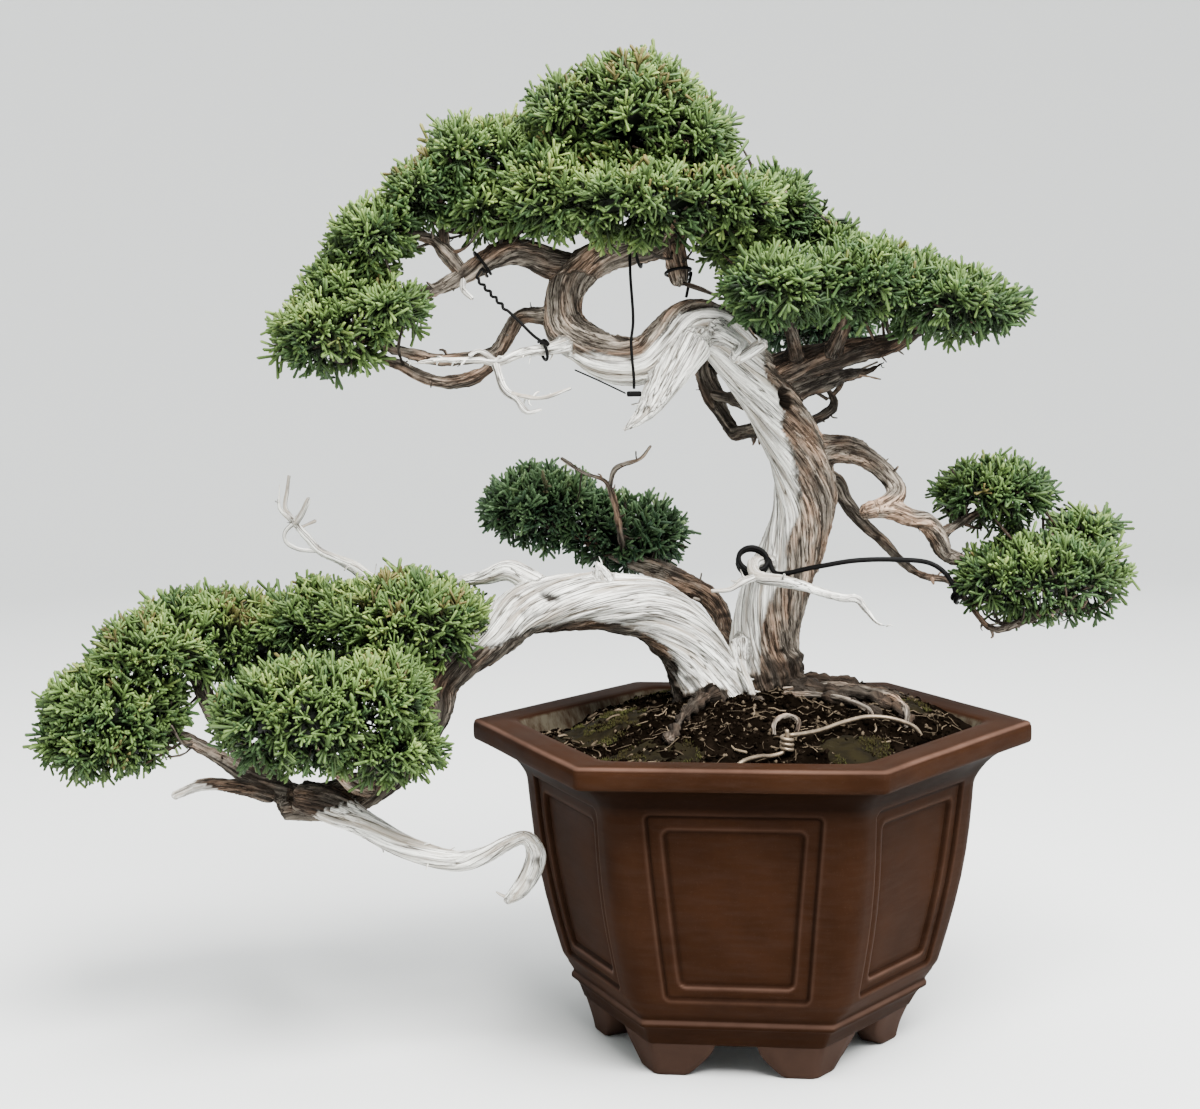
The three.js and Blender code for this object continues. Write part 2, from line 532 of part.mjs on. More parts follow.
// The tie wire. One end stands in the knot, runs left, dives between soil and wall, passes down through
// a floor hole, across under the floor and up through the other, and comes back over the soil to be
// wound round the first end.
const KNOT = { place: [14, -60], low: 144.2, high: 152, radius: 2.3, rise: 2.1 };
const underFloor = FOOT_TOP.z - GAP - TIE - 0.5;
const tieRoute = [
  [...KNOT.place, KNOT.high + 1],
  [...KNOT.place, KNOT.low + 3],
  [KNOT.place[0] - 1.5, KNOT.place[1] - 1, KNOT.low - 0.4],
  [7, -64, 142.6],
  [1, -69, 143.4],
  [-7, -77, 142.4],
  [-12, -80, 137],
  [-18, -66, 95],
  [-28, -36, 45],
  [...TIE_HOLES[0], 30],
  [...TIE_HOLES[0], 17],
  [TIE_HOLES[0][0] + 3, TIE_HOLES[0][1], underFloor],
  [TIE_HOLES[1][0] - 3, TIE_HOLES[1][1], underFloor],
  [...TIE_HOLES[1], 17],
  [...TIE_HOLES[1], 30],
  [44, -32, 45],
  [66, -32, 95],
  [77, -32, 136],
  [74, -32, 147],
  [64, -33, 152],
  [52, -34, 153.5],
  [41, -40, 152.5],
  [28, -50, 150.5],
  ...turnsRound([...KNOT.place, KNOT.high - 1.5], [0, 0, -1], KNOT.radius, -3, KNOT.rise, [1, 0.6, 0]),
];

// The clip comes up through the mesh on one side of the drain hole and goes down on the other.
const clipHigh = FLOOR_TOP + GAP + MESH_THICK + GAP + CLIP + 0.2;
const clipLow = FOOT_TOP.z - GAP - CLIP - 0.8;
const clipRoute = [
  [-20, MESH_PITCH / 2, clipLow],
  [-13, MESH_PITCH / 2, clipLow],
  [-MESH_PITCH * 1.5, MESH_PITCH / 2, clipLow + 3],
  [-MESH_PITCH * 1.5, MESH_PITCH / 2, FLOOR_TOP],
  [-MESH_PITCH * 1.5, MESH_PITCH / 2, clipHigh - 1],
  [-MESH_PITCH * 1.2, MESH_PITCH / 2, clipHigh],
  [0, MESH_PITCH / 2, clipHigh],
  [MESH_PITCH * 1.2, MESH_PITCH / 2, clipHigh],
  [MESH_PITCH * 1.5, MESH_PITCH / 2, clipHigh - 1],
  [MESH_PITCH * 1.5, MESH_PITCH / 2, FLOOR_TOP],
  [MESH_PITCH * 1.5, MESH_PITCH / 2, clipLow + 3],
  [13, MESH_PITCH / 2, clipLow],
  [20, MESH_PITCH / 2, clipLow],
];

const WIRES = {
  guy_wire_left: [guyLeftRoute, GUY, blackWire],
  guy_wire_centre: [guyCentreRoute, GUY, blackWire],
  return_wire: [returnRoute, LINE, blackWire],
  hook_wire: [hookRoute, GUY, blackWire],
  ring_wire: [ringRoute, RING, blackWire],
  shaping_wire: [shapingRoute, RING, blackWire],
  tie_wire: [tieRoute, TIE, paleWire],
  mesh_clip: [clipRoute, CLIP, paleWire],
};

// Foliage. Each lobe is [x, y, z, half length, half depth, half height].

const PADS = {
  foliage_crown_top: [[-48, -8, 420, 31, 37, 26], [-79, -5, 420, 15, 31, 16], [-19, -5, 406, 16, 33, 17]],
  foliage_crown_front: [[-46, -22, 380, 38, 35, 19], [-86, -14, 385, 19, 31, 20], [-7, -14, 379, 23, 32, 16]],
  foliage_crown_left: [[-105, 12, 402, 14, 28, 19], [-115, 4, 378, 15, 28, 13]],
  foliage_crown_right: [[-1, 12, 364, 17, 27, 15]],
  foliage_crown_back: [[-47, 34, 411, 43, 28, 27], [-77, 34, 389, 28, 24, 21]],
  foliage_right_shoulder: [[21, 18, 376, 16, 30, 15], [43, 24, 363, 12, 26, 9]],
  foliage_right_inner: [[14, -28, 342, 25, 33, 17]],
  foliage_right_middle: [[51, -12, 344, 26, 36, 19], [74, 10, 343, 19, 29, 17]],
  foliage_right_outer: [[93, -12, 333, 23, 35, 15], [114, -6, 328, 11, 23, 8]],
  foliage_back_upper: [[28, 78, 326, 42, 28, 14]],
  foliage_left_shoulder: [[-124, 2, 404, 15, 31, 15], [-143, 0, 387, 15, 28, 14]],
  foliage_left_middle: [[-164, -4, 367, 19, 31, 15]],
  foliage_left_upper: [[-183, -10, 330, 25, 31, 17], [-154, -12, 340, 17, 27, 10], [-187, -2, 347, 15, 27, 15]],
  foliage_low_far_left: [[-289, 4, 155, 33, 37, 23], [-272, 10, 178, 27, 33, 18], [-282, 0, 140, 26, 30, 11]],
  foliage_low_back: [[-233, 38, 180, 31, 33, 22], [-259, 34, 188, 22, 28, 15]],
  foliage_low_front: [[-189, -46, 157, 39, 34, 24], [-157, -36, 164, 19, 30, 17]],
  foliage_low_inner: [[-156, 6, 191, 38, 38, 22], [-192, 26, 198, 21, 28, 14]],
  foliage_back_left: [[-98, 112, 240, 30, 30, 21]],
  foliage_back_right: [[-50, 110, 225, 29, 28, 20]],
  foliage_right_top: [[121, 26, 247, 27, 27, 17]],
  foliage_right_back: [[162, 34, 233, 16, 23, 9]],
  foliage_right_front: [[133, 4, 211, 38, 30, 20]],
};
const SHADED_PADS = ["foliage_back_left", "foliage_back_right", "foliage_back_upper"];

function lobesOf(lobes, swell = 0) {
  const solids = lobes.map(([x, y, z, a, b, c]) => {
    const [around, bands] = a > LARGE_LOBE ? [10, 6] : [8, 5];
    return ellipsoid([x, y, z], [a, b, c], swell, around, bands);
  });
  return joined(solids);
}

// Soil, moss, drain mesh and the small black pad

const GUY_PAD = { size: [6.5, 4, 2.4], centre: [-49, -17, 296.2] };

function soilBlock(lift = 0) {
  const edge = cavityProfile(GAP + lift);
  const wallAt = (z) => {
    const [low, high] = [edge[3], edge[4]];
    return THREE.MathUtils.mapLinear(z, low[1], high[1], low[0], high[0]);
  };
  const fill = sixSided([...edge.slice(0, 4), [wallAt(SOIL_EDGE + lift), SOIL_EDGE + lift], [0, SOIL_EDGE + lift]]);
  const mouth = edge[5][0] - 3;
  const above = POT_HEIGHT + 2 * MOUND.half[2];
  const tall = sixSided([...edge.slice(0, 4), [mouth, POT_HEIGHT], [mouth, above], [0, above]]);
  const [x, y, z] = MOUND.centre;
  const mound = ellipsoid([x, y, z + lift], MOUND.half, 0, 16, 14);
  return fill.add(tall.intersect(mound));
}

const MOSS = {
  moss_front_left: [-44, -46, 24, 18],
  moss_left: [-66, 8, 22, 26],
  moss_right: [70, 8, 16, 12],
  moss_front_right: [48, -56, 20, 13],
  moss_back: [-20, 72, 34, 14],
};
const MOSS_RISE = 3;
const MOSS_SUNK = 1; // how far a cushion's middle lies under the soil's surface before it is trimmed

function soilHeight(x, y) {
  const [mx, my, mz] = MOUND.centre;
  const [a, b, c] = MOUND.half;
  const left = 1 - ((x - mx) / a) ** 2 - ((y - my) / b) ** 2;
  return Math.max(SOIL_EDGE, left > 0 ? mz + c * Math.sqrt(left) : SOIL_EDGE);
}

const meshMiddle = FLOOR_TOP + GAP + MESH_THICK / 2;

function drainMesh(swell = 0) {
  const side = MESH_SIDE + 2 * swell;
  const sheet = new THREE.BoxGeometry(side, side, MESH_THICK + 2 * swell);
  sheet.translate(0, 0, meshMiddle);
  return solidOf(sheet);
}

function meshHoles() {
  return Array.from({ length: MESH_HOLES ** 2 }, (_, i) => {
    const hole = new THREE.BoxGeometry(MESH_HOLE, MESH_HOLE, 4 * MESH_THICK);
    const column = (i % MESH_HOLES) - (MESH_HOLES - 1) / 2;
    const row = Math.floor(i / MESH_HOLES) - (MESH_HOLES - 1) / 2;
    hole.translate(column * MESH_PITCH, row * MESH_PITCH, meshMiddle);
    return solidOf(hole);
  });
}

function guyPad() {
  const block = new THREE.BoxGeometry(...GUY_PAD.size);
  block.translate(...GUY_PAD.centre);
  return solidOf(block);
}

// Assembly

addNode("pot", pot(), clay);
addNode("drain_mesh", drainMesh().subtract(joined(meshHoles())), meshPlastic);
addNode("tree_wood", treeWood(), bark);
addNode("guy_pad", guyPad(), blackPad);
for (const [name, [route, radius, look]] of Object.entries(WIRES)) {
  addNode(name, wire(route, radius), look);
}

const swollenWood = treeWood(CLEAR);
const swollenWires = joined(Object.values(WIRES).map(([route, radius]) => wire(route, radius, CLEAR)));
const hard = joined([swollenWood, swollenWires]);
addNode("soil", largest(soilBlock().subtract(hard).subtract(drainMesh(CLEAR))), earth);

const raisedSoil = soilBlock(GAP);
for (const [name, [x, y, a, b]] of Object.entries(MOSS)) {
  const middle = [x, y, soilHeight(x, y) - MOSS_SUNK];
  const cushion = ellipsoid(middle, [a, b, MOSS_RISE + MOSS_SUNK], 0, 12, 8);
  const trimmed = cushion.subtract(raisedSoil).subtract(hard);
  addNode(name, largest(trimmed), mossGreen);
}

// Each pad is trimmed by the wood, the wires and the pads before it.
const taken = [hard];
for (const [name, lobes] of Object.entries(PADS)) {
  const trimmed = lobesOf(lobes).subtract(joined(taken));
  addNode(name, largest(trimmed), SHADED_PADS.includes(name) ? leafShade : leaf);
  taken.push(lobesOf(lobes, CLEAR));
}

// The origin stands under the middle of the whole tree's box, to a tenth of a millimetre.
const root = new THREE.Group();
root.add(tree);
const box = new THREE.Box3().setFromObject(tree);
const middle = box.getCenter(new THREE.Vector3()).multiplyScalar(10).round().divideScalar(10);
tree.position.set(-middle.x, -middle.y, 0);

export default root;
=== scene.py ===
"""A shimpaku juniper bonsai in its six-sided pot.

Laid out as an add-on and run as a script. Shapes are worked out in millimetres round the middle of the
pot's foot ring, with +X to the viewer's right, +Y away from the viewer and +Z up. put_points() moves them
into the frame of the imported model, in metres.
"""

import math
from itertools import product

import bmesh
import bpy
import numpy as np
from bpy.props import FloatProperty, FloatVectorProperty, IntProperty, PointerProperty
from mathutils import Matrix, Vector
from mathutils.kdtree import KDTree


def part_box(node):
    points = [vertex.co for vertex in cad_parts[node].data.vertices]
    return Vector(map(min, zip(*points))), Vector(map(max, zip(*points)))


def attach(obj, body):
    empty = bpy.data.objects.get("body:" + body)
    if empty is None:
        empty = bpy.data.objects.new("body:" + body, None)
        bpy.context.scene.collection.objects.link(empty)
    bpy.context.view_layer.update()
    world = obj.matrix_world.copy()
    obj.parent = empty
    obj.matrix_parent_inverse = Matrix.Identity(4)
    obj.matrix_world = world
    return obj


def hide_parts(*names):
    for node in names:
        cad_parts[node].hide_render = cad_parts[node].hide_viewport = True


bl_info = {
    "name": "Juniper bonsai",
    "version": (1, 0, 0),
    "blender": (4, 5, 0),
    "location": "View3D > Sidebar > Juniper",
    "description": "Builds a shimpaku juniper bonsai in its six-sided pot, with a plain studio round it",
    "category": "Add Mesh",
}

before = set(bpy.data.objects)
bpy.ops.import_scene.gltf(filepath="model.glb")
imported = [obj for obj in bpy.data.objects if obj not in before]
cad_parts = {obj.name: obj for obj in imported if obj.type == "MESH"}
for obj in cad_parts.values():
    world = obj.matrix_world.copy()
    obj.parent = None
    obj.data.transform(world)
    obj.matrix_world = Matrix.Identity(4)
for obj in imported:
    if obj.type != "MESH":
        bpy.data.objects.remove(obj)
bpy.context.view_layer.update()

MM = 0.001
POT_LOW, POT_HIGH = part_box("pot")
POT_AXIS = np.array([(POT_LOW.x + POT_HIGH.x) / 2, (POT_LOW.y + POT_HIGH.y) / 2, 0]) / MM
SEED = 41
FULL_TURN = 2 * math.pi

# Driving sizes of the pot. A corner size is the distance from the pot's axis to a corner.
POT_TURN = -7.5  # degrees from +X to the first corner
FACES = 6
FACE_TURN = 60  # degrees from one face to the next
HALF_FACE = math.pi / FACES
BODY_TOP = (103.5, 116)  # corner size and height
BODY_FOOT = (88.5, 38)
BODY_ROUNDING = 14
BODY_SWELL = 2.8  # how far the faces swell at half their height
BODY_TUCK = 2.2  # how far the body is drawn in over its foot band
FLOOR_TOP = 25
FLOOR_UNDER = 15
# The two outlines of each panel: heights, half widths at the foot and the top, and rounding of the corners.
GROOVE = {"bottom": 38.3, "top": 122.6, "foot_half": 31, "top_half": 37.8, "rounding": 3}
FIELD = {"bottom": 44.9, "top": 115.8, "foot_half": 24.4, "top_half": 30.3, "rounding": 3.5}
FOOT_CORNERS = (70.5, 75)  # on the ground and under the floor
FOOT_THICK = 11.3
FOOT_EDGE = 1.1  # how far a foot's edges are cut off
FOOT_TOE = 5.2  # radius of a foot's outer corner
FOOT_TOE_DEPTH = 6  # from that corner's middle to the foot's corner
SOLE_TUCK = 0.8  # how far a foot's sole is drawn in
SOLE_RISE = 0.9
FOOT_HEIGHTS = [0, 0.25, 0.9, 2, 3.5, 5, 7, 9, 11, 13, 15, 16]
# The arches between the feet, as heights and half widths.
FOOT_ARCH = [(0, 21), (3, 17.5), (7, 13.5), (11, 10.5), (15.5, 8.8)]
# The lean of a hand-made pot: how far its feet stand to the left, how far its body lies to the right of
# them, and how far its rim is lifted at the right.
FOOT_SHIFT = 1.1
BODY_SHIFT = 1.9
RIM_LIFT = 1.5
DRAIN_RADIUS = 14
TIE_HOLES = [(-30, -32), (36, -32)]
TIE_HOLE_RADIUS = 2.5

# Driving sizes of the soil.
SOIL_EDGE = 138
MOUND_CENTRE = np.array([22, 25, 128])
MOUND_HALF = np.array([105, 100, 28])
MOUND_EASE = 0.5  # how sharply the mound meets the level edge

# The pot's outline from the edge of its underside to the edge of its inner floor, without its body:
# corner size, height and rounding of the corner in plan.
FOOT_BAND = [
    (74.4, 15, 3), (75, 15.2, 3), (75.8, 15.9, 3), (77, 18.5, 3), (78.3, 21.2, 3), (79.8, 23.3, 3),
    (81.6, 24.2, 3), (82.3, 24.7, 3), (82.5, 25.5, 3), (82.4, 26.5, 3), (81.9, 27.3, 3), (81.7, 28, 4),
    (82.5, 29.2, 6), (84.1, 31, 9), (85.7, 32.8, 12),
]
FACE_TOP = [
    (104.1, 119.4, 14), (104.3, 120.2, 14), (104.6, 121, 14), (104.9, 121.8, 14), (105.3, 122.6, 14),
    (105.7, 123.4, 13), (106.3, 124.4, 13),
]
UNDER_RIM = [
    (107.4, 126, 12), (109.2, 128.2, 11), (111.8, 130.6, 10), (114.9, 132.8, 8), (118, 134.4, 6),
    (121, 135.5, 5), (123.6, 136, 4),
]
RIM_AND_INSIDE = [
    (125.6, 136.3, 3.5), (126.7, 136.8, 3.5), (127.2, 137.8, 3.5), (127.3, 139.5, 3.5), (127.3, 142, 3.5),
    (127.2, 143.8, 3.5), (126.95, 144.1, 3.5), (126.95, 144.4, 3.5), (126.7, 145.2, 3.5), (126, 145.8, 3.5),
    (124, 146.1, 4), (119, 146.2, 5), (113, 146.1, 8), (109, 145.9, 11), (107.6, 145.3, 12),
    (106.8, 144.2, 13), (106, 142, 13), (104.6, 138, 13), (103, 134, 13), (99, 126, 13), (94.5, 116, 13),
    (86, 78, 13), (78, 42, 12), (74.5, 31, 12), (68.5, 25.2, 12), (66, 25, 12),
]
# Heights of the rim's and the foot band's edges, which carry a painted highlight.
HIGHLIT_EDGES = (26.5, 27.3, 145.2, 145.8)
# Heights of the body's rows, close together where the panels' edges run across.
BODY_HEIGHTS = [
    34, 35.5, *(36.6 + 0.8 * k for k in range(15)), 53, 64, 76, 88, 99, 108,
    *(112.2 + 0.8 * k for k in range(9)),
]

# The wood. Each point is x, y, z and radius, from the limb's root to its tip.
LIMBS = {
    "main_trunk": [
        (10, 40, 126, 21), (11, 42, 145, 18), (12, 41, 160, 16.5), (12, 41, 175, 15.5), (16, 39, 195, 14.8),
        (26, 35, 224, 13.8), (31, 31, 244, 13.5), (28, 27, 263, 12.7), (22, 24, 277, 12.2),
        (12, 19, 294, 11.5), (0, 13, 310, 10.7), (-11, 8, 323, 10.4), (-23, 4, 326, 10.2),
        (-34, 0, 318, 9.9), (-46, -3, 310, 10.1), (-58, -4, 311, 9.9), (-70, -3, 317, 9),
        (-79, -1, 326, 7.9), (-80, 1, 335, 7.2), (-77, 3, 345, 7.7), (-70, 5, 353, 7.5),
    ],
    "left_trunk": [
        (-4, 32, 130, 19), (-11, 30, 146, 17.6), (-16, 29, 161, 15.8), (-25, 26, 180, 14.3),
        (-40, 22, 194, 13.8), (-56, 18, 199, 12.8), (-72, 14, 201, 12.3), (-88, 10, 200, 11.8),
        (-102, 7, 196, 10.9), (-113, 4, 188, 9.9), (-127, 2, 178, 9.3), (-140, 2, 166, 9),
        (-144, 2, 153, 9), (-151, 2, 141, 8.8), (-159, 2, 129, 8.5), (-171, 3, 118, 8.1),
        (-190, 3, 111, 7.7), (-211, 3, 110, 6.5),
    ],
    "crown_branch": [
        (-76, 4, 349, 7.7), (-63, 4, 357, 6.8), (-52, 2, 360, 6.5), (-41, 0, 362, 6.3), (-30, -2, 367, 5.4),
        (-21, -5, 379, 4.5), (-20, -8, 394, 3.1), (-27, -10, 411, 1.8),
    ],
    "crown_left_inner": [(-58, 3, 359, 4.5), (-63, 0, 375, 3.2), (-69, -5, 393, 2), (-80, -8, 408, 1.3)],
    "crown_stub": [(-32, 0, 366, 4.5), (-29, -4, 354, 4.3), (-28, -6, 345, 3.6)],
    "crown_right_inner": [(-24, -4, 376, 3.6), (-10, -5, 383, 2.7), (8, -5, 387, 1.8), (27, 5, 381, 1.4)],
    "crown_right_low": [(-23, -4, 373, 3), (-11, 6, 369, 2), (1, 12, 365, 1.4)],
    "crown_back_riser": [(-57, 3, 358, 4), (-58, 17, 373, 3), (-55, 31, 396, 1.8)],
    "crown_left_riser": [(-98, 1, 359, 3), (-104, 4, 374, 2), (-107, 9, 398, 1.2)],
    "crown_left_branch": [
        (-71, 5, 351, 6.3), (-85, 4, 354, 6.1), (-94, 2, 358, 5.6), (-102, 0, 360, 5.2),
        (-112, -2, 357, 4.5), (-123, -3, 350, 3.8), (-135, -4, 344, 2.9), (-147, -6, 340, 2.2),
        (-163, -8, 337, 1.6),
    ],
    "shoulder_branch": [
        (-124, -3, 350, 2.9), (-132, -3, 360, 2.9), (-137, -2, 365, 2.2), (-150, -2, 368, 1.6),
        (-163, -2, 366, 1.1),
    ],
    "shoulder_riser": [(-132, -3, 358, 2.2), (-133, 0, 369, 2), (-134, 2, 383, 1.6), (-127, 4, 399, 1.1)],
    "crown_left_spur": [(-124, -5, 348, 1.4), (-124, -8, 343, 1), (-120, -10, 339, 0.7)],
    "loop_branch": [
        (-80, 0, 331, 4.5), (-89, 2, 331, 3.8), (-99, 6, 331, 3.4), (-105, 8, 323, 3.4),
        (-111, 8, 315, 3.2), (-122, 6, 313, 2.7), (-136, 4, 312, 2.5), (-148, 0, 315, 2.3),
        (-162, -4, 319, 2), (-177, -8, 324, 1.3),
    ],
    "loop_branch_lower": [
        (-109, 8, 318, 2.7), (-113, 6, 309, 2.7), (-121, 3, 304, 2.7), (-133, 0, 302, 2.7),
        (-144, -3, 305, 2.5), (-153, -6, 310, 2.2), (-170, -9, 316, 1.3),
    ],
    "upper_jin": [
        (-74, -6, 319, 3.8), (-88, -12, 316, 2.7), (-98, -15, 315, 2.2), (-109, -17, 311, 2),
        (-117, -18, 312, 1.5), (-128, -18, 312, 1.3), (-138, -17, 312, 1.3), (-149, -16, 310, 0.7),
    ],
    "upper_jin_spur": [(-109, -17, 311, 1.3), (-117, -19, 316, 0.9), (-121, -20, 314, 0.7)],
    "upper_jin_drop": [
        (-110, -17, 311, 1.8), (-106, -20, 299, 1.5), (-101, -21, 295, 1.3), (-96, -22, 289, 1.1),
        (-90, -22, 290, 0.7),
    ],
    "upper_jin_fork": [(-103, -21, 297, 1.1), (-90, -20, 295, 0.9), (-77, -18, 299, 0.7)],
    "big_jin": [
        (-22, -3, 318, 8.5), (-32, -9, 306, 7.4), (-39, -12, 296, 6), (-44, -14, 288, 4),
        (-50, -16, 283, 2.2), (-54, -16, 280, 0.9),
    ],
    "top_jin": [(-13, 2, 324, 5.9), (-6, -10, 320, 3.7), (-1, -16, 315, 3.2), (-5, -20, 311, 2.6)],
    "top_peg": [(-4, -18, 311, 2.6), (2, -21, 314, 2.8), (8, -24, 318, 2.3)],
    "behind_branch": [
        (17, 28, 278, 3.9), (4, 46, 276, 3.3), (0, 52, 275, 3.3), (-6, 58, 284, 3.3), (-10, 62, 292, 4.6),
        (-13, 66, 304, 4.3), (-8, 70, 317, 3.6), (6, 74, 326, 2.9), (33, 78, 328, 2.2),
    ],
    "behind_branch_second": [(14, 22, 286, 2.9), (2, 44, 290, 2.8), (-9, 60, 293, 2.9)],
    "right_limb_upper": [
        (10, 16, 303, 7), (28, 20, 308, 6.4), (51, 22, 313, 5.4), (70, 15, 317, 3.8), (82, 2, 324, 2.6),
        (95, -9, 332, 1.8), (106, -14, 335, 1.3),
    ],
    "right_limb_lower": [
        (18, 20, 294, 6), (36, 26, 299, 4.8), (50, 32, 302, 3.2), (61, 34, 304, 1.7), (68, 32, 308, 0.9),
    ],
    "right_limb_riser": [(41, 20, 311, 3.7), (47, 8, 325, 3), (50, -5, 341, 2.2), (56, -10, 354, 1.3)],
    "right_limb_left": [(26, 18, 309, 3.7), (21, 0, 326, 2.7), (14, -15, 337, 2), (6, -22, 343, 1.3)],
    "right_twig": [
        (27, 25, 279, 2.4), (42, 32, 285, 2.1), (45, 36, 290, 1.9), (42, 38, 296, 0.9), (40, 40, 304, 0.7),
    ],
    "right_loop": [
        (30, 28, 266, 7), (42, 26, 268, 6.2), (50, 22, 268, 5.5), (59, 16, 264, 4.3), (67, 10, 256, 3.9),
        (70, 4, 249, 3.8), (63, -4, 244, 3.8), (53, -8, 242, 3.3),
    ],
    "right_loop_return": [
        (59, -6, 243, 3.6), (67, -3, 242, 4), (75, 0, 238, 3.8), (83, 4, 236, 3.8), (89, 8, 229, 4.1),
        (93, 12, 221, 3.4), (103, 15, 217, 2.5), (119, 18, 219, 1.8), (134, 20, 225, 1.4),
    ],
    "right_loop_riser": [(89, 8, 229, 2.3), (103, 18, 235, 1.8), (121, 26, 244, 1.4)],
    "right_back_twig": [(119, 18, 219, 1.8), (140, 26, 226, 1.4), (160, 33, 231, 1.1)],
    "right_lower": [
        (32, 34, 253, 4.4), (46, 36, 253, 3.3), (50, 36, 244, 3.3), (58, 32, 233, 3), (67, 28, 225, 2.5),
        (75, 22, 216, 2.1), (83, 16, 210, 1.8), (95, 8, 208, 1.8), (104, 0, 196, 1.6), (111, -4, 188, 1.6),
        (117, -6, 188, 1.8), (124, -8, 191, 2), (132, -8, 194, 1.8), (136, -6, 201, 1.3),
        (138, -4, 212, 1.1),
    ],
    "right_lower_end": [(130, -8, 194, 1.3), (142, -8, 196, 0.9), (150, -8, 196, 0.7)],
    "back_branch": [
        (6, 44, 170, 6.4), (-4, 54, 176, 4.8), (-7, 62, 187, 4.3), (-13, 70, 195, 4.8), (-24, 78, 201, 4.9),
        (-36, 86, 206, 4.7), (-50, 94, 211, 3.7), (-67, 102, 218, 2.7), (-90, 108, 227, 2),
        (-105, 112, 235, 1.3),
    ],
    "back_branch_right": [(-40, 88, 207, 2.9), (-37, 100, 216, 2.2), (-40, 108, 224, 1.5)],
    "back_twig": [
        (-53, 95, 213, 1.8), (-55, 78, 226, 1.6), (-58, 68, 243, 1.3), (-62, 66, 252, 1.1),
        (-72, 67, 256, 0.8), (-83, 70, 263, 0.6),
    ],
    "back_twig_right": [(-60, 67, 248, 1.2), (-57, 64, 258, 1), (-45, 62, 263, 0.8), (-40, 60, 269, 0.6)],
    "fan_left": [(42, 37, 291, 1.1), (35, 36, 295, 0.8), (28, 35, 297, 0.4)],
    "fan_left_up": [(35, 36, 295, 0.7), (31, 36, 300, 0.6), (28, 36, 304, 0.3)],
    "fan_right": [
        (43, 37, 291, 1.1), (48, 36, 297, 0.9), (51, 35, 302, 0.7), (58, 34, 305, 0.6), (65, 33, 308, 0.4),
    ],
    "fan_right_low": [(50, 35, 300, 0.8), (56, 32, 302, 0.6), (66, 30, 300, 0.3)],
    "fan_right_up": [(48, 36, 297, 0.7), (49, 33, 303, 0.5), (46, 30, 309, 0.3)],
    "ring_root": [
        (10, -44, 148, 0.9), (10, -41, 152, 0.9), (13, -37, 154.5, 0.9), (18, -35, 154.5, 0.9),
        (21, -38, 152.5, 0.9), (19, -44, 147, 0.8),
    ],
    "root_outer": [
        (20, 24, 155, 2.2), (42, 26, 157.5, 1.7), (55, 18, 157.5, 1.5), (67, 4, 156, 1.6),
        (72, -12, 152, 1.4), (70, -24, 147, 1),
    ],
    "root_inner": [
        (20, 16, 155, 1.8), (35, 6, 156.5, 1.3), (47, -6, 155.5, 1.2), (55, -18, 152.5, 1.1),
        (54, -30, 147, 0.8),
    ],
    "front_jin": [
        (16, 28, 215, 3.4), (9, 19, 217, 2.8), (5, 11, 216.5, 2.7), (6, 5, 212, 2.8), (18, 0, 210, 2.7),
        (27, -3, 208, 2.3), (36, -6, 205, 2), (45, -9, 203, 2), (50, -10, 203, 2), (54, -11, 198, 1.6),
        (59, -12, 192, 1.1), (65, -12, 190, 0.6),
    ],
    "front_jin_left": [(7, 5, 212, 2), (-1, 0, 210, 1.6), (-7, -4, 207, 1.3), (-15, -7, 207, 0.7)],
    "left_jin": [
        (-88, 10, 203, 6), (-100, 14, 212, 5), (-107, 17, 215, 4.6), (-120, 22, 211, 3.2),
        (-133, 26, 209, 2.3), (-146, 28, 206, 1.5),
    ],
    "far_jin": [
        (-135, 5, 171, 4.6), (-143, 16, 187, 4.1), (-154, 24, 198, 3.8), (-165, 28, 206, 3.4),
        (-174, 30, 211, 3.1), (-180, 30, 216, 2.9), (-188, 30, 220, 2.3), (-196, 29, 224, 2.1),
        (-200, 28, 229, 2.1), (-204, 27, 234, 1.9), (-208, 26, 239, 1.8), (-213, 25, 244, 1.2),
        (-213, 24, 251, 0.9), (-212, 24, 257, 0.7),
    ],
    "far_jin_second": [
        (-207, 26, 238, 1.4), (-211, 28, 244, 0.9), (-210, 29, 252, 0.9), (-209, 30, 259, 0.8),
    ],
    "far_jin_third": [(-206, 26, 237, 1.2), (-202, 24, 243, 1.2), (-199, 22, 249, 0.9)],
    "far_jin_fourth": [(-204, 27, 235, 0.8), (-197, 28, 238, 0.7)],
    "far_jin_loop": [
        (-196, 29, 224, 1), (-205, 27, 225, 0.9), (-211, 26, 229, 0.9), (-211, 26, 233, 0.9),
        (-206, 26, 238, 0.9),
    ],
    "spike": [(-62, 14, 206, 5), (-64, 10, 213, 3.4), (-67, 7, 220.5, 0.8)],
    "low_jin": [
        (-203, -1, 115, 6.4), (-189, -7, 111, 7.3), (-172, -13, 103, 5.5), (-152, -18, 93, 4.9),
        (-130, -22, 88, 4.2), (-118, -26, 92, 3.7), (-106, -30, 99, 3.1), (-99, -32, 101, 3),
        (-95, -34, 94, 4.1), (-98, -35, 85, 4.2), (-104, -36, 77, 3.5), (-109, -36, 73, 2),
    ],
    "low_left_branch": [
        (-204, 3, 112, 5), (-227, 4, 122, 4.1), (-243, 5, 133, 3.4), (-259, 6, 142, 2.5),
        (-277, 6, 149, 1.6),
    ],
    "low_left_dark": [
        (-208, 6, 111, 5), (-230, 16, 130, 4.6), (-246, 21, 150, 4), (-254, 24, 167, 2.8),
        (-257, 26, 178, 1.6),
    ],
    "low_back_riser": [(-162, 4, 122, 3.8), (-192, 22, 138, 3.2), (-221, 32, 158, 2.3), (-238, 36, 174, 1.4)],
    "low_front_limb": [
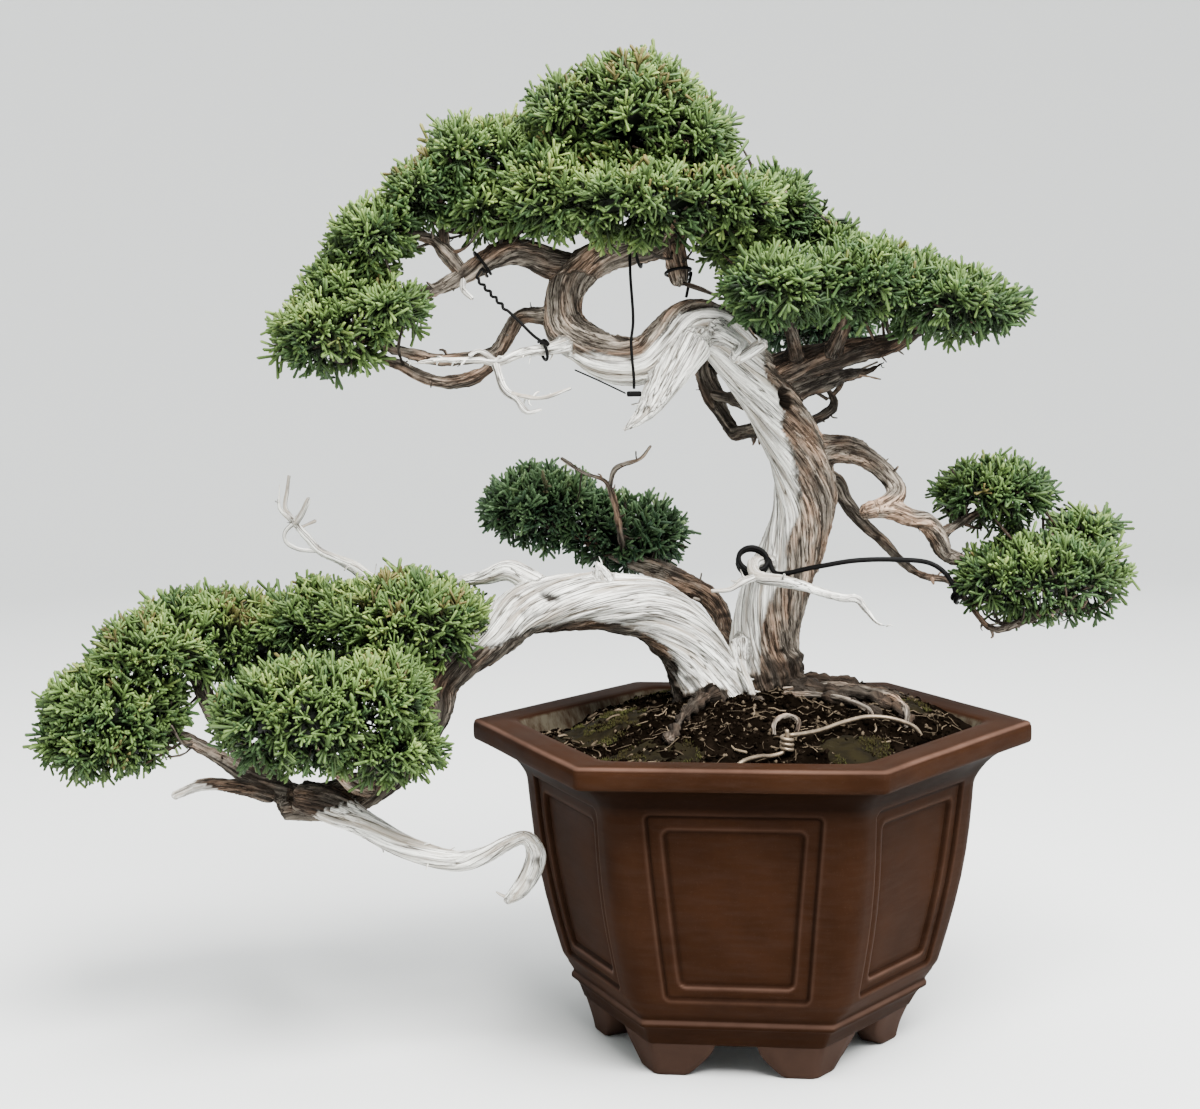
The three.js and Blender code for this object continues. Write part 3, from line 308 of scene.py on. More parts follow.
        (-170, 2, 117, 4.6), (-179, -18, 125, 3.5), (-187, -34, 140, 2.6), (-193, -42, 152, 1.5),
    ],
    "low_top_riser": [(-141, 2, 162, 3.6), (-148, 4, 175, 2.7), (-158, 4, 187, 1.8)],
    "low_stub": [(-217, 0, 114, 3.4), (-232, -9, 121, 3), (-247, -12, 122, 2.7), (-259, -15, 118, 2.2)],
    "root_right": [
        (16, 38, 152, 6), (28, 26, 157, 2.8), (40, 18, 157, 2.1), (52, 10, 157, 2), (63, 0, 154, 2),
        (71, -10, 150, 1.8), (74, -18, 145, 1.6),
    ],
    "root_right_back": [
        (18, 44, 152, 6), (31, 46, 157, 2.8), (43, 44, 157, 2.4), (55, 40, 155, 2.1), (73, 32, 151, 1.9),
        (86, 20, 144, 1.7),
    ],
    "root_right_low": [(20, 32, 150, 4), (30, 14, 155, 2.3), (47, -4, 155, 1.6), (60, -16, 151, 1.3)],
    "root_left": [
        (-8, 26, 152, 5), (-15, 12, 156, 3), (-20, 2, 155, 2.2), (-27, -12, 152, 1.8), (-33, -30, 148, 1.6),
        (-36, -40, 145, 1.4),
    ],
    "root_front": [(8, 32, 150, 5), (4, 16, 153, 2), (14, 2, 153, 1.5), (24, -6, 150, 1.2)],
    "white_tail": [(0, 30, 178, 4.5), (0, 22, 168, 2.6), (4, 16, 158, 1.8), (6, 13, 151, 1.3)],
}

# How far the rough bark at the trunks' feet, darkened towards the soil, stands up from the soil, and how far
# round the pot's axis.
COLLAR_RISE = 9
COLLAR_REACH = 90

# Parts of the names of the limbs without bark.
BARE_NAMES = ("jin", "spike", "top_peg", "white_tail", "spur")

# Where the bark lies on the limbs that carry both: share of the length, the side that it lies on, and how
# much of the round it covers, from -1 for none to 1 for all.
BARK_STRIPS = {
    "main_trunk": [
        (0, (0.9, 0.2, -0.2), 0.9), (0.07, (0.95, -0.1, 0), 0.45), (0.13, (0.97, -0.15, 0), 0.2),
        (0.3, (0.97, -0.15, 0), 0.2), (0.4, (0.95, -0.2, 0.1), 0.05), (0.48, (0.9, -0.2, 0.3), 0.02),
        (0.53, (0.75, 0.1, 0.6), -0.25), (0.6, (0.2, 0.5, 0.8), -0.35), (0.7, (0, 0.3, 0.95), -0.2),
        (0.8, (-0.1, 0.1, 0.95), -0.1), (0.86, (-0.3, 0.1, 0.9), 0.05), (0.9, (-0.5, 0.1, 0.8), 0.4),
        (0.94, (0, 0, 1), 1.3),
        (1, (0, 0, 1), 1.6),
    ],
    "left_trunk": [
        (0, (-0.5, 0.4, -0.6), 0.3), (0.12, (-0.6, 0.3, -0.7), -0.3), (0.3, (-0.3, 0.3, -0.9), -0.38),
        (0.5, (0.1, 0.3, -0.95), -0.3), (0.58, (0.2, 0.2, -0.9), 0.2), (0.66, (0, 0, -1), 1.2),
        (1, (0, 0, -1), 1.6),
    ],
    "low_jin": [(0, (0, 0, 1), 1.5), (0.07, (0, 0, 1), 0.9), (0.2, (0, 0, 1), -1.6), (1, (0, 0, 1), -2.4)],
    "upper_jin": [(0, (0, 0, 1), 1), (0.03, (0, 0, 1), 0.5), (0.07, (0, 0, 1), -2.4), (1, (0, 0, 1), -2.4)],
    "low_stub": [(0, (0, 0, 1), 1.5), (0.5, (0, 0, 1), 0.9), (0.85, (0, 0, 1), -1.4), (1, (0, 0, 1), -2.4)],
}

# How light the bark of a limb is, where it differs from the rest: partly the bark's own tone, and partly
# painted shade, which darkens the limbs and twigs that lie under the pads.
BARK_TONES_AND_SHADE = {
    "main_trunk": 1.45, "left_trunk": 0.6, "low_jin": 0.45, "low_stub": 0.5,
    "right_loop": 1.45, "right_loop_return": 1.2, "right_lower": 0.85,
    "back_branch": 1.15, "loop_branch": 0.9, "loop_branch_lower": 0.75, "crown_branch": 1.2,
    "behind_branch": 0.5, "behind_branch_second": 0.5, "low_left_dark": 0.45, "low_left_branch": 0.7,
    "root_right": 1.05, "root_right_back": 0.85, "root_left": 0.95, "root_outer": 0.9, "root_inner": 0.9,
    "right_limb_upper": 0.38, "right_limb_lower": 0.35, "right_limb_riser": 0.4, "right_limb_left": 0.4,
    "right_twig": 0.5, "crown_left_branch": 0.85, "twig": 0.38,
}
# The thick limbs of the left side, which make a piece of their own.
LEFT_SIDE_LIMBS = [
    "left_trunk", "left_jin", "far_jin", "spike", "low_jin", "low_left_branch", "low_left_dark",
    "low_back_riser", "low_front_limb", "low_top_riser", "root_left",
]

# Hollows in the wood: place, reach and depth.
HOLLOWS = [
    ((19.8, 9, 295), 3.1, 6), ((20.2, 9.6, 291), 2.8, 6), ((-91, 0, 204.6), 1.9, 1.8),
    ((-88, -1, 204), 2, 2.4), ((-85, -1, 203.6), 1.7, 1.7), ((-100, -3, 197), 2.2, 1.2),
    ((-94, -38, 92), 2.2, 1.6), ((-98, -39, 83), 1.6, 1.2),
]
# Knots that stand proud: place, reach and height.
KNOTS = [((16.5, 7, 285.5), 3, 1.6), ((-92, -1, 199), 4, 1.2), ((-70, 4, 212), 2.6, 1)]

# Foliage pads. Each lobe is x, y, z, half length, half depth and half height.
PADS = {
    "crown_top": [(-48, -8, 420, 31, 37, 26), (-79, -5, 420, 15, 31, 16), (-19, -5, 406, 16, 33, 17)],
    "crown_front": [(-46, -22, 380, 38, 35, 19), (-86, -14, 385, 19, 31, 20), (-7, -14, 379, 23, 32, 16)],
    "crown_left": [(-105, 12, 402, 14, 28, 19), (-115, 4, 378, 15, 28, 13)],
    "crown_right": [(-1, 12, 364, 17, 27, 15)],
    "crown_back": [(-47, 34, 411, 43, 28, 27), (-77, 34, 389, 28, 24, 21)],
    "right_shoulder": [(18, 18, 378, 18, 30, 18), (43, 24, 363, 12, 26, 9)],
    "right_inner": [(14, -28, 342, 25, 33, 17)],
    "right_middle": [(51, -12, 344, 26, 36, 19), (74, 10, 343, 19, 29, 17)],
    "right_outer": [(92, -12, 335, 24, 35, 17), (114, -6, 330, 11, 23, 8)],
    "back_upper": [(28, 78, 326, 42, 28, 14)],
    "left_shoulder": [(-124, 2, 404, 15, 31, 15), (-143, 0, 387, 15, 28, 14)],
    "left_middle": [(-164, -4, 367, 19, 31, 15)],
    "left_upper": [(-184, -10, 325, 26, 31, 19), (-157, -12, 336, 18, 27, 12), (-180, -2, 344, 15, 27, 14)],
    "low_far_left": [(-289, 4, 155, 33, 37, 23), (-272, 10, 180, 27, 33, 19), (-290, -2, 139, 31, 30, 13)],
    "low_back": [(-233, 38, 182, 31, 33, 23), (-259, 34, 190, 22, 28, 16)],
    "low_front": [(-195, -46, 160, 41, 34, 26), (-158, -36, 166, 20, 30, 19), (-158, -40, 143, 24, 26, 14)],
    "low_inner": [(-153, 6, 193, 41, 38, 23), (-196, 20, 193, 23, 30, 19)],
    "back_left": [(-93, 112, 237, 31, 30, 21)],
    "back_right": [(-51, 110, 222, 30, 28, 21)],
    "right_top": [(118, 26, 247, 28, 27, 17)],
    "right_back": [(162, 34, 229, 16, 23, 9)],
    "right_front": [(135, 4, 210, 39, 30, 20)],
}
# Pads at the back, in shade: their leaves are a copy tinted by SHADE_CAST as painted shade.
SHADED_PADS = ["back_left", "back_right", "back_upper"]
SHADE_CAST = (0.95, 1.05, 1.7)

MOSS = {
    "moss_front_left": (-44, -46, 24, 18),
    "moss_left": (-66, 8, 22, 26),
    "moss_right": (70, 8, 16, 12),
    "moss_front_right": (48, -56, 20, 13),
    "moss_back": (-20, 72, 34, 14),
}
MOSS_RISE = 3


# Numbers and curves


def way_at(turn):
    """The direction at an angle in plan."""
    return np.array([math.cos(turn), math.sin(turn)])


def all_round(count):
    """Even angles all the way round."""
    return np.arange(count) * 2 * math.pi / count


def on_level(x, y, z=0):
    """Points from their places in plan, at one height."""
    return np.column_stack([x, y, np.full(len(x), z)])


def ways_at(turns):
    """The directions at several angles in plan, one to a row."""
    return np.column_stack([np.cos(turns), np.sin(turns)])


def level_ring(reach, angle, z):
    """Points at one height, at these distances from the middle and these angles."""
    return on_level(reach * np.cos(angle), reach * np.sin(angle), z)


def bell(values, middle, width):
    """1 at the middle value and less the further a value is from it."""
    return np.exp(-(((values - middle) / width) ** 2))


def unit(vectors):
    """Vectors of length one, one to a row."""
    lengths = np.linalg.norm(vectors, axis=-1, keepdims=True)
    return vectors / np.maximum(lengths, 1e-9)


def blend_between(low, high, values):
    """0 below low, 1 above high and an even curve between them."""
    share = np.clip((values - low) / (high - low), 0, 1)
    return share * share * (3 - 2 * share)


# What the cells of the noise are mixed with: one large prime for each direction, one for the seed and one
# for the last stir.
CELL_PRIMES = (73856093, 19349663, 83492791)
SEED_PRIME = 26544357
STIR_PRIME = 1274126177


def clouds(points, seed):
    """Smooth noise from -1 to 1 at each point, with one lump to a unit."""
    base = np.floor(points).astype(np.int64)
    part = points - base
    weight = part * part * (3 - 2 * part)
    total = np.zeros(len(points))
    for corner in product((0, 1), repeat=3):
        x, y, z = ((base + np.array(corner)) * CELL_PRIMES).T
        mixed = x ^ y ^ z ^ (seed + 7) * SEED_PRIME
        mixed = (mixed ^ (mixed >> 13)) * STIR_PRIME
        value = ((mixed ^ (mixed >> 16)) & 0xFFFF) / 32767.5 - 1
        total += value * np.prod(np.where(corner, weight, 1 - weight), axis=1)
    return total


def layered_clouds(points, seed):
    """Clouds with finer clouds on them."""
    return clouds(points, seed) + clouds(points * 2.1 + 11.3, seed + 1) / 2


def even_route(rows, step):
    """A centripetal curve through rows of numbers, the first three of them a place, at even steps.
    Returns the rows along it and the length up to each."""
    knots = np.array(rows, float)
    knots = np.vstack([2 * knots[0] - knots[1], knots, 2 * knots[-1] - knots[-2]])
    fine = []
    for before, start, end, after in zip(knots[:-3], knots[1:-2], knots[2:-1], knots[3:]):
        first = math.sqrt(np.linalg.norm((start - before)[:3]))
        second = math.sqrt(np.linalg.norm((end - start)[:3]))
        third = math.sqrt(np.linalg.norm((after - end)[:3]))
        leave = (start - before) / first - (end - before) / (first + second) + (end - start) / second
        arrive = (end - start) / second - (after - start) / (second + third) + (after - end) / third
        t = np.linspace(0, 1, 16, endpoint=False)[:, None]
        fine.append(
            (2 * t**3 - 3 * t**2 + 1) * start
            + (t**3 - 2 * t**2 + t) * leave * second
            + (3 * t**2 - 2 * t**3) * end
            + (t**3 - t**2) * arrive * second
        )
    fine = np.vstack([*fine, knots[-2:-1]])
    lengths = np.concatenate([[0], np.cumsum(np.linalg.norm(np.diff(fine[:, :3], axis=0), axis=1))])
    at = np.linspace(0, lengths[-1], max(3, round(lengths[-1] / step) + 1))
    return np.column_stack([np.interp(at, lengths, column) for column in fine.T]), at


def frames_along(places):
    """The heading at each place and two cross directions that don't twist."""
    heading = unit(np.gradient(places, axis=0))
    across = np.empty_like(heading)
    current = np.array([0.31, 0.94, 0.12])  # along none of the limbs
    for i, ahead in enumerate(heading):
        current = unit(current - ahead * (current @ ahead))
        across[i] = current
    return heading, across, np.cross(heading, across)


def skin(rows, around):
    """Quads between closed rings of points, facing outwards where the rings follow their heading."""
    ring = np.arange(rows - 1)[:, None] * around
    this = np.arange(around)[None, :]
    after = (this + 1) % around
    corners = [ring + this, ring + after, ring + around + after, ring + around + this]
    return np.stack(corners, axis=-1).reshape(-1, 4)


class Gathered:
    """Points and faces of many small parts, and the values that go with each point."""

    def __init__(self):
        self.points = []
        self.faces = []
        self.values = {}
        self.count = 0

    def add(self, points, face_groups, **values):
        """Adds a part. Each of its values is one number for the whole part, or one row for each point."""
        self.points.append(points)
        self.faces += [faces + self.count for faces in face_groups]
        self.count += len(points)
        for name, given in values.items():
            rows = np.full(len(points), given) if np.ndim(given) == 0 else given
            self.values.setdefault(name, []).append(rows)

    def all_points(self):
        """The points of all parts."""
        return np.vstack(self.points)

    def value(self, name):
        """One of the values at all points."""
        return np.concatenate(self.values[name])

    def all_values(self):
        """Each of the values at all points, by its name."""
        return {name: self.value(name) for name in self.values}


def put_points(mesh, points):
    """Puts a mesh's points at these places, in millimetres round the pot's axis."""
    mesh.vertices.foreach_set("co", ((points + POT_AXIS) * MM).astype(np.float32).ravel())
    mesh.update()


def mesh_of(name, points, face_groups):
    """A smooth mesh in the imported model's frame, from points in millimetres round the pot's axis."""
    mesh = bpy.data.meshes.new(name)
    corners = np.concatenate([faces.ravel() for faces in face_groups]).astype(np.int32)
    sizes = np.concatenate([np.full(len(faces), faces.shape[1]) for faces in face_groups])
    starts = np.concatenate([[0], np.cumsum(sizes)[:-1]]).astype(np.int32)
    mesh.vertices.add(len(points))
    put_points(mesh, points)
    mesh.loops.add(len(corners))
    mesh.loops.foreach_set("vertex_index", corners)
    mesh.polygons.add(len(sizes))
    mesh.polygons.foreach_set("loop_start", starts)
    mesh.polygons.foreach_set("use_smooth", np.ones(len(sizes), dtype=bool))
    mesh.update(calc_edges=True)
    mesh.validate()
    return mesh


def rows_of(values, field):
    """Three numbers for each point or normal of a mesh."""
    flat = np.empty(len(values) * 3, dtype=np.float32)
    values.foreach_get(field, flat)
    return flat.reshape(-1, 3).astype(float)


def keep(mesh, **values):
    """Keeps a number or a vector for each point, which a finish can read by its name."""
    for name, given in values.items():
        kind, field = ("FLOAT", "value") if given.ndim == 1 else ("FLOAT_VECTOR", "vector")
        kept = mesh.attributes.new(name, kind, "POINT")
        kept.data.foreach_set(field, given.astype(np.float32).ravel())


# The small steps in the swatch map and its margin, as shares of its side.
SWATCH_STEP = 0.008
SWATCH_EDGE = 0.004


def swatch_mesh(name, gathered):
    """A mesh of gathered parts, laid out by tone and reach in the map that the leaf, moss and soil colours
    are read from, with small steps from point to point so that no face is without area in it."""
    points = gathered.all_points()
    mesh = mesh_of(name, points, gathered.faces)
    tone = gathered.value("tone") + SWATCH_STEP * clouds(points * 3.1, 77)
    reach = gathered.value("reach") + SWATCH_STEP * clouds(points[:, ::-1] * 3.1, 77)
    layer = mesh.uv_layers.new(name="OFBake")
    corners = np.empty(len(mesh.loops), dtype=np.int32)
    mesh.loops.foreach_get("vertex_index", corners)
    places = np.column_stack([tone, reach])[corners].clip(SWATCH_EDGE, 1 - SWATCH_EDGE)
    layer.data.foreach_set("uv", places.astype(np.float32).ravel())
    return mesh


def in_scene(name, data):
    """A new object of the scene that shows a mesh, a light or a camera."""
    made = bpy.data.objects.new(name, data)
    bpy.context.scene.collection.objects.link(made)
    return made


def piece(name, mesh, material, slot, *nodes):
    """Puts a mesh in the scene as a piece of the object that stands for CAD nodes."""
    made = in_scene(name, mesh)
    mesh.materials.append(material)
    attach(made, "root")
    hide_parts(*nodes)


def closed(rings, first, last):
    """A closed skin over rings of points, with a point in the middle of either end: points and faces."""
    around = len(rings[0])
    this = np.arange(around)
    after = (this + 1) % around
    points = np.vstack([*rings, [first], [last]])
    start = (len(rings) - 1) * around
    ends = np.vstack([
        np.column_stack([after, this, np.full(around, len(points) - 2)]),
        np.column_stack([start + this, start + after, np.full(around, len(points) - 1)]),
    ])
    return points, [skin(len(rings), around), ends]


def tube(rows, step, sides):
    """A closed tube along rows of x, y, z and radius: points, faces, and its length, angle, radius and
    outward direction at each point."""
    line, at = even_route(rows, step)
    heading, across, side = frames_along(line[:, :3])
    angle = all_round(sides)
    out = np.cos(angle)[None, :, None] * across[:, None] + np.sin(angle)[None, :, None] * side[:, None]
    first = line[0, :3] - heading[0] * line[0, 3] * 0.5
    last = line[-1, :3] + heading[-1] * line[-1, 3] * 0.6
    points, faces = closed(line[:, None, :3] + out * line[:, None, 3:4], first, last)
    length = np.append(np.repeat(at, sides), [0, at[-1]])
    turned = np.append(np.tile(angle, len(line)), [0, 0])
    radius = np.append(np.repeat(line[:, 3], sides), [line[0, 3], line[-1, 3]])
    out = np.vstack([out.reshape(-1, 3), -heading[:1], heading[-1:]])
    return points, faces, {"length": length, "angle": turned, "radius": radius, "out": out}


# Finishes


class Finish:
    """A material and short calls for the nodes that its colours and bumps are made of."""

    def __init__(self, name, roughness, specular, metallic=0.0):
        self.material = bpy.data.materials.new(name)
        self.material.use_nodes = True
        self.tree = self.material.node_tree
        self.shader = self.tree.nodes["Principled BSDF"]
        given = {"Roughness": roughness, "Specular IOR Level": specular, "Metallic": metallic}
        for socket, value in given.items():
            self.shader.inputs[socket].default_value = value

    def feed(self, socket, value):
        """Links a socket to another node's output, or sets it to a plain value."""
        if isinstance(value, bpy.types.NodeSocket):
            self.tree.links.new(value, socket)
        else:
            socket.default_value = value

    def node(self, kind, **inputs):
        """A new node with these inputs."""
        made = self.tree.nodes.new("ShaderNode" + kind)
        for name, value in inputs.items():
            self.feed(made.inputs[name], value)
        return made

    def place(self):
        """Places on the object, in metres."""
        return self.node("TexCoord").outputs["Object"]

    def kept(self, name, output="Fac"):
        """What keep() has put at each point under this name."""
        node = self.node("Attribute")
        node.attribute_name = name
        return node.outputs[output]

    def swatch(self):
        """Tone and reach, from the map that swatch_mesh() lays out."""
        node = self.node("UVMap")
        node.uv_map = "OFBake"
        parts = self.node("SeparateXYZ", Vector=node.outputs["UV"])
        return parts.outputs["X"], parts.outputs["Y"]

    def scaled(self, vector, scale):
        """Places stretched or squeezed along each axis."""
        return self.node("Mapping", Vector=vector, Scale=scale).outputs["Vector"]

    def noise(self, vector, scale, detail, roughness):
        """Cloudy noise from 0 to 1."""
        node = self.node("TexNoise", Vector=vector, Scale=scale, Detail=detail, Roughness=roughness)
        return node.outputs["Fac"]

    def ramp(self, factor, stops):
        """A colour or a strength by a factor. Each stop is a factor and a strength, or a factor, a colour
        and how light that is made."""
        node = self.node("ValToRGB", Fac=factor)
        elements = node.color_ramp.elements
        while len(elements) < len(stops):
            elements.new(0.5)
        for element, (position, color, *light) in zip(elements, stops):
            shown = tinted(color, *light) if isinstance(color, tuple) else (color, color, color)
            element.position = position
            element.color = (*shown, 1)
        return node.outputs["Color"]

    def mix(self, factor, first, second, how="MIX"):
        """The second colour laid over the first, as far as the factor says."""
        node = self.node("Mix")
        node.data_type = "RGBA"
        node.blend_type = how
        self.feed(node.inputs[0], factor)
        for socket, value in ((node.inputs[6], first), (node.inputs[7], second)):
            self.feed(socket, (*value, 1) if isinstance(value, tuple) else value)
        return node.outputs[2]

    def patched(self, base, noise, low, high, most, color):
        """A colour laid over another in patches, from nowhere at the low noise to most at the high one."""
        return self.mix(self.ramp(noise, [(low, 0.0), (high, most)]), base, color)

    def times(self, first, second):
        """Two colours or strengths multiplied."""
        return self.mix(1, first, second, "MULTIPLY")

    def lines(self, noise, half, strength=1.0):
        """Thin winding lines, where a noise passes its middle value."""
        return self.ramp(noise, [(0.5 - half, 0.0), (0.5, strength), (0.5 + half, 0.0)])

    def color(self, value):
        """Gives the shader its colour."""
        self.feed(self.shader.inputs["Base Color"], value)

    def rough(self, value):
        """Gives the shader its roughness."""
        self.feed(self.shader.inputs["Roughness"], value)

    def bump(self, height, distance, strength):
        """Gives the shader small unevenness, at most this far in metres."""
        node = self.node("Bump", Strength=strength, Distance=distance, Height=height)
        self.feed(self.shader.inputs["Normal"], node.outputs["Normal"])


def tinted(color, light=1.0):
    """A colour made lighter or darker."""
    return tuple(min(1, channel * light) for channel in color)


# Settings


def color_setting(name, description, default):
    """A colour that can be chosen in the panel."""
    return FloatVectorProperty(name=name, description=description, default=default, min=0, max=1,
                               subtype="COLOR")


def length_setting(name, description, default, low, high):
    """A length in metres that can be chosen in the panel."""
    return FloatProperty(name=name, description=description, default=default, min=low, max=high,
                         subtype="DISTANCE", unit="LENGTH", precision=5)


def number_setting(name, description, default, high, low=0):
    """A plain number that can be chosen in the panel."""
    return FloatProperty(name=name, description=description, default=default, min=low, max=high)


class PotSettings(bpy.types.PropertyGroup):
    clay: color_setting("Clay", "Colour of the fired clay", (0.0165, 0.0066, 0.003))
    bare_clay: color_setting("Foot clay", "Colour of the paler clay on the feet", (0.03, 0.017, 0.0125))
    frame_step: length_setting("Frame step", "Depth of the step round each panel's frame", 0.0014, 0, 0.003)
    field_step: length_setting("Field step", "Depth of the sunk field inside the frame", 0.0016, 0, 0.003)


class WoodSettings(bpy.types.PropertyGroup):
    voxel: length_setting("Skin cell", "Cell of the skin round the thick limbs", 0.0012, 0.0008, 0.003)
    relief: number_setting("Relief", "How deep the grain and the bark are", 1, 3)
    bare: color_setting("Deadwood", "Colour of the bleached wood", (0.82, 0.8, 0.745))
    grain: color_setting("Grain", "Colour of the streaks in the bleached wood", (0.17, 0.14, 0.105))
    bark: color_setting("Bark", "Colour of the live bark", (0.132, 0.113, 0.092))
    dark_bark: color_setting("Dark bark", "Colour of the bark's cracks", (0.012, 0.0085, 0.006))


class FoliageSettings(bpy.types.PropertyGroup):
    density: number_setting("Sprays", "Leaf sprays on each square centimetre of a pad", 4.8, 12, 0.5)
    length: length_setting("Spray length", "Length of a spray's middle shoot", 0.0115, 0.003, 0.02)
    thickness: length_setting("Shoot radius", "Radius of one rope-like shoot", 0.00073, 0.0003, 0.002)
    light: color_setting("Light green", "Colour of the youngest shoots", (0.13, 0.189, 0.046))
    middle: color_setting("Green", "Colour of most shoots", (0.051, 0.088, 0.022))
    deep: color_setting("Deep green", "Colour of shaded shoots", (0.016, 0.034, 0.01))
    ochre: color_setting("Ochre", "Colour of the sun-browned shoots", (0.088, 0.08, 0.024))


class SoilSettings(bpy.types.PropertyGroup):
    earth: color_setting("Soil", "Colour of the damp soil", (0.0026, 0.0018, 0.0012))
    fibre: color_setting("Fibres", "Colour of the dry fibres on the soil", (0.1, 0.077, 0.052))
    moss: color_setting("Moss", "Colour of the moss", (0.032, 0.033, 0.01))
    grains: IntProperty(name="Grains", description="Loose grains on the soil", default=3400, min=0, max=20000)
    fibres: IntProperty(name="Fibres", description="Loose fibres on the soil", default=620, min=0, max=5000)


class WireSettings(bpy.types.PropertyGroup):
    black: color_setting("Black wire", "Colour of the guy and ring wires", (0.0035, 0.0033, 0.0033))
    pale: color_setting("Pale wire", "Colour of the tie wire", (0.22, 0.17, 0.12))


class StageSettings(bpy.types.PropertyGroup):
    floor: color_setting("Floor", "Colour of the plain floor", (0.65, 0.665, 0.66))
    key: number_setting("Key light", "Strength of the soft light above the front, in watts", 205, 500)
    fill: number_setting("Fill light", "Strength of the soft light at the right, in watts", 24, 500)
    sky: number_setting("Sky", "Strength of the even light from all round", 0.85, 5)


class JuniperSettings(bpy.types.PropertyGroup):
    pot: PointerProperty(type=PotSettings)
    wood: PointerProperty(type=WoodSettings)
    foliage: PointerProperty(type=FoliageSettings)
    soil: PointerProperty(type=SoilSettings)
    wire: PointerProperty(type=WireSettings)
    stage: PointerProperty(type=StageSettings)


# Stage

CAMERA_PLACE = np.array([-65, -967, 324])
CAMERA_PITCH = math.radians(5.94)
CAMERA_ROLL = math.radians(-0.78)
CAMERA_LENS = 64.44
SENSOR_WIDTH = 36
NEAR_CLIP = 0.05
TREE_MIDDLE = np.array([-72, 12, 215])
# The studio in metres: its radius, its curve up into the wall, the wall's height and rings of the floor.
STUDIO_RADIUS = 3.2
STUDIO_COVE = 1.3
STUDIO_WALL = 2.6
FLOOR_RINGS = (0.02, 0.3, 0.9)
FLOOR_SIDES = 96
# Soft square lights: place in millimetres, side in metres, the setting that drives it, how many times that
# setting it shines, and its tint.
LIGHTS = {
    "Key": ((320, -980, 1800), 1.2, "key", 1, (1, 0.985, 0.96)),
    "Fill": ((1500, -700, 700), 1.6, "fill", 1, (0.95, 0.98, 1)),
    "Top": ((200, 350, 1900), 1.4, "fill", 2, (1, 1, 1)),
}
SKY_TINT = (0.93, 0.96, 1, 1)


def studio_floor(settings):
    """A round pale floor that curves up into a low wall."""
    turn = np.linspace(0, math.pi / 2, 13)
    reach = [*FLOOR_RINGS, *(STUDIO_RADIUS - STUDIO_COVE * (1 - np.sin(turn))), STUDIO_RADIUS]
    rise = [*(0 for _ in FLOOR_RINGS), *(STUDIO_COVE * (1 - np.cos(turn))), STUDIO_WALL]
    rings = [level_ring(far, all_round(FLOOR_SIDES), high) for far, high in zip(reach, rise)]
    points = np.vstack([*rings, [[0, 0, 0]]]) / MM
    this = np.arange(FLOOR_SIDES)
    middle = np.column_stack([this, (this + 1) % FLOOR_SIDES, np.full(FLOOR_SIDES, len(points) - 1)])
    mesh = mesh_of("studio_floor", points, [skin(len(rings), FLOOR_SIDES)[:, ::-1], middle])
    finish = Finish("Pale floor", 0.9, 0.2)
    finish.color((*settings.floor, 1))
    mesh.materials.append(finish.material)
    return in_scene("studio_floor", mesh)


def soft_light(name, place, size, watts, tint):
    """A square soft light at a place round the pot's axis, in millimetres, aimed at the tree."""
    data = bpy.data.lights.new(name, "AREA")
    data.shape = "SQUARE"
    data.size = size
    data.energy = watts
    data.color = tint
    light = in_scene(name, data)
    light.location = Vector((np.array(place) + POT_AXIS) * MM)
    light.rotation_euler = Vector(TREE_MIDDLE - np.array(place)).to_track_quat("-Z", "Y").to_euler()


def photo_camera():
    """The camera at the photograph's place and angle."""
    data = bpy.data.cameras.new("Camera")
    data.lens = CAMERA_LENS
    data.sensor_width = SENSOR_WIDTH
    data.clip_start = NEAR_CLIP
    camera = in_scene("Camera", data)
    turned = Matrix.Rotation(math.pi / 2 - CAMERA_PITCH, 4, "X") @ Matrix.Rotation(CAMERA_ROLL, 4, "Z")
    camera.matrix_world = Matrix.Translation(Vector((CAMERA_PLACE + POT_AXIS) * MM)) @ turned
    return camera


class JUNIPER_OT_stage(bpy.types.Operator):
    """Makes the plain floor, the soft lights and the camera"""

    bl_idname = "juniper.stage"
    bl_label = "Stage"

    def execute(self, context):
        settings = context.scene.juniper.stage
        studio_floor(settings)
        for name, (place, size, driver, times, tint) in LIGHTS.items():
            soft_light(name, place, size, getattr(settings, driver) * times, tint)
        world = context.scene.world or bpy.data.worlds.new("Studio")
        context.scene.world = world
        world.use_nodes = True
        background = world.node_tree.nodes["Background"]
        background.inputs["Color"].default_value = SKY_TINT
        background.inputs["Strength"].default_value = settings.sky
        context.scene.camera = photo_camera()
        return {"FINISHED"}


# Pot

# How far inside a field's edge and outside its groove's edge the points of a face lie close together.
CLOSE_INSIDE = 3
CLOSE_OUTSIDE = 2.4
CORNER_STEPS = 6
# The face number of the points on a corner.
OFF_FACE = 99.0
# Inside the rim, between these heights, the clay is limed.
LIME_BAND = (132, 145)
LIME_REACH = 107
# Up to this height the foot band carries a little painted shade.
SHADED_BAND_RISE = 31


def panel_half(outline, z):
    """Half the width of a panel's outline at a height."""
    share = (z - outline["bottom"]) / (outline["top"] - outline["bottom"])
    return outline["foot_half"] + (outline["top_half"] - outline["foot_half"]) * np.clip(share, 0, 1)


def panel_edge(outline, u, z):
    """Distance from a panel's outline, negative inside it."""
    rounding = outline["rounding"]
    dx = np.abs(u) - panel_half(outline, z) + rounding
    dz = np.maximum(outline["bottom"] - z, z - outline["top"]) + rounding
    outside = np.hypot(np.maximum(dx, 0), np.maximum(dz, 0))
    return outside + np.minimum(np.maximum(dx, dz), 0) - rounding


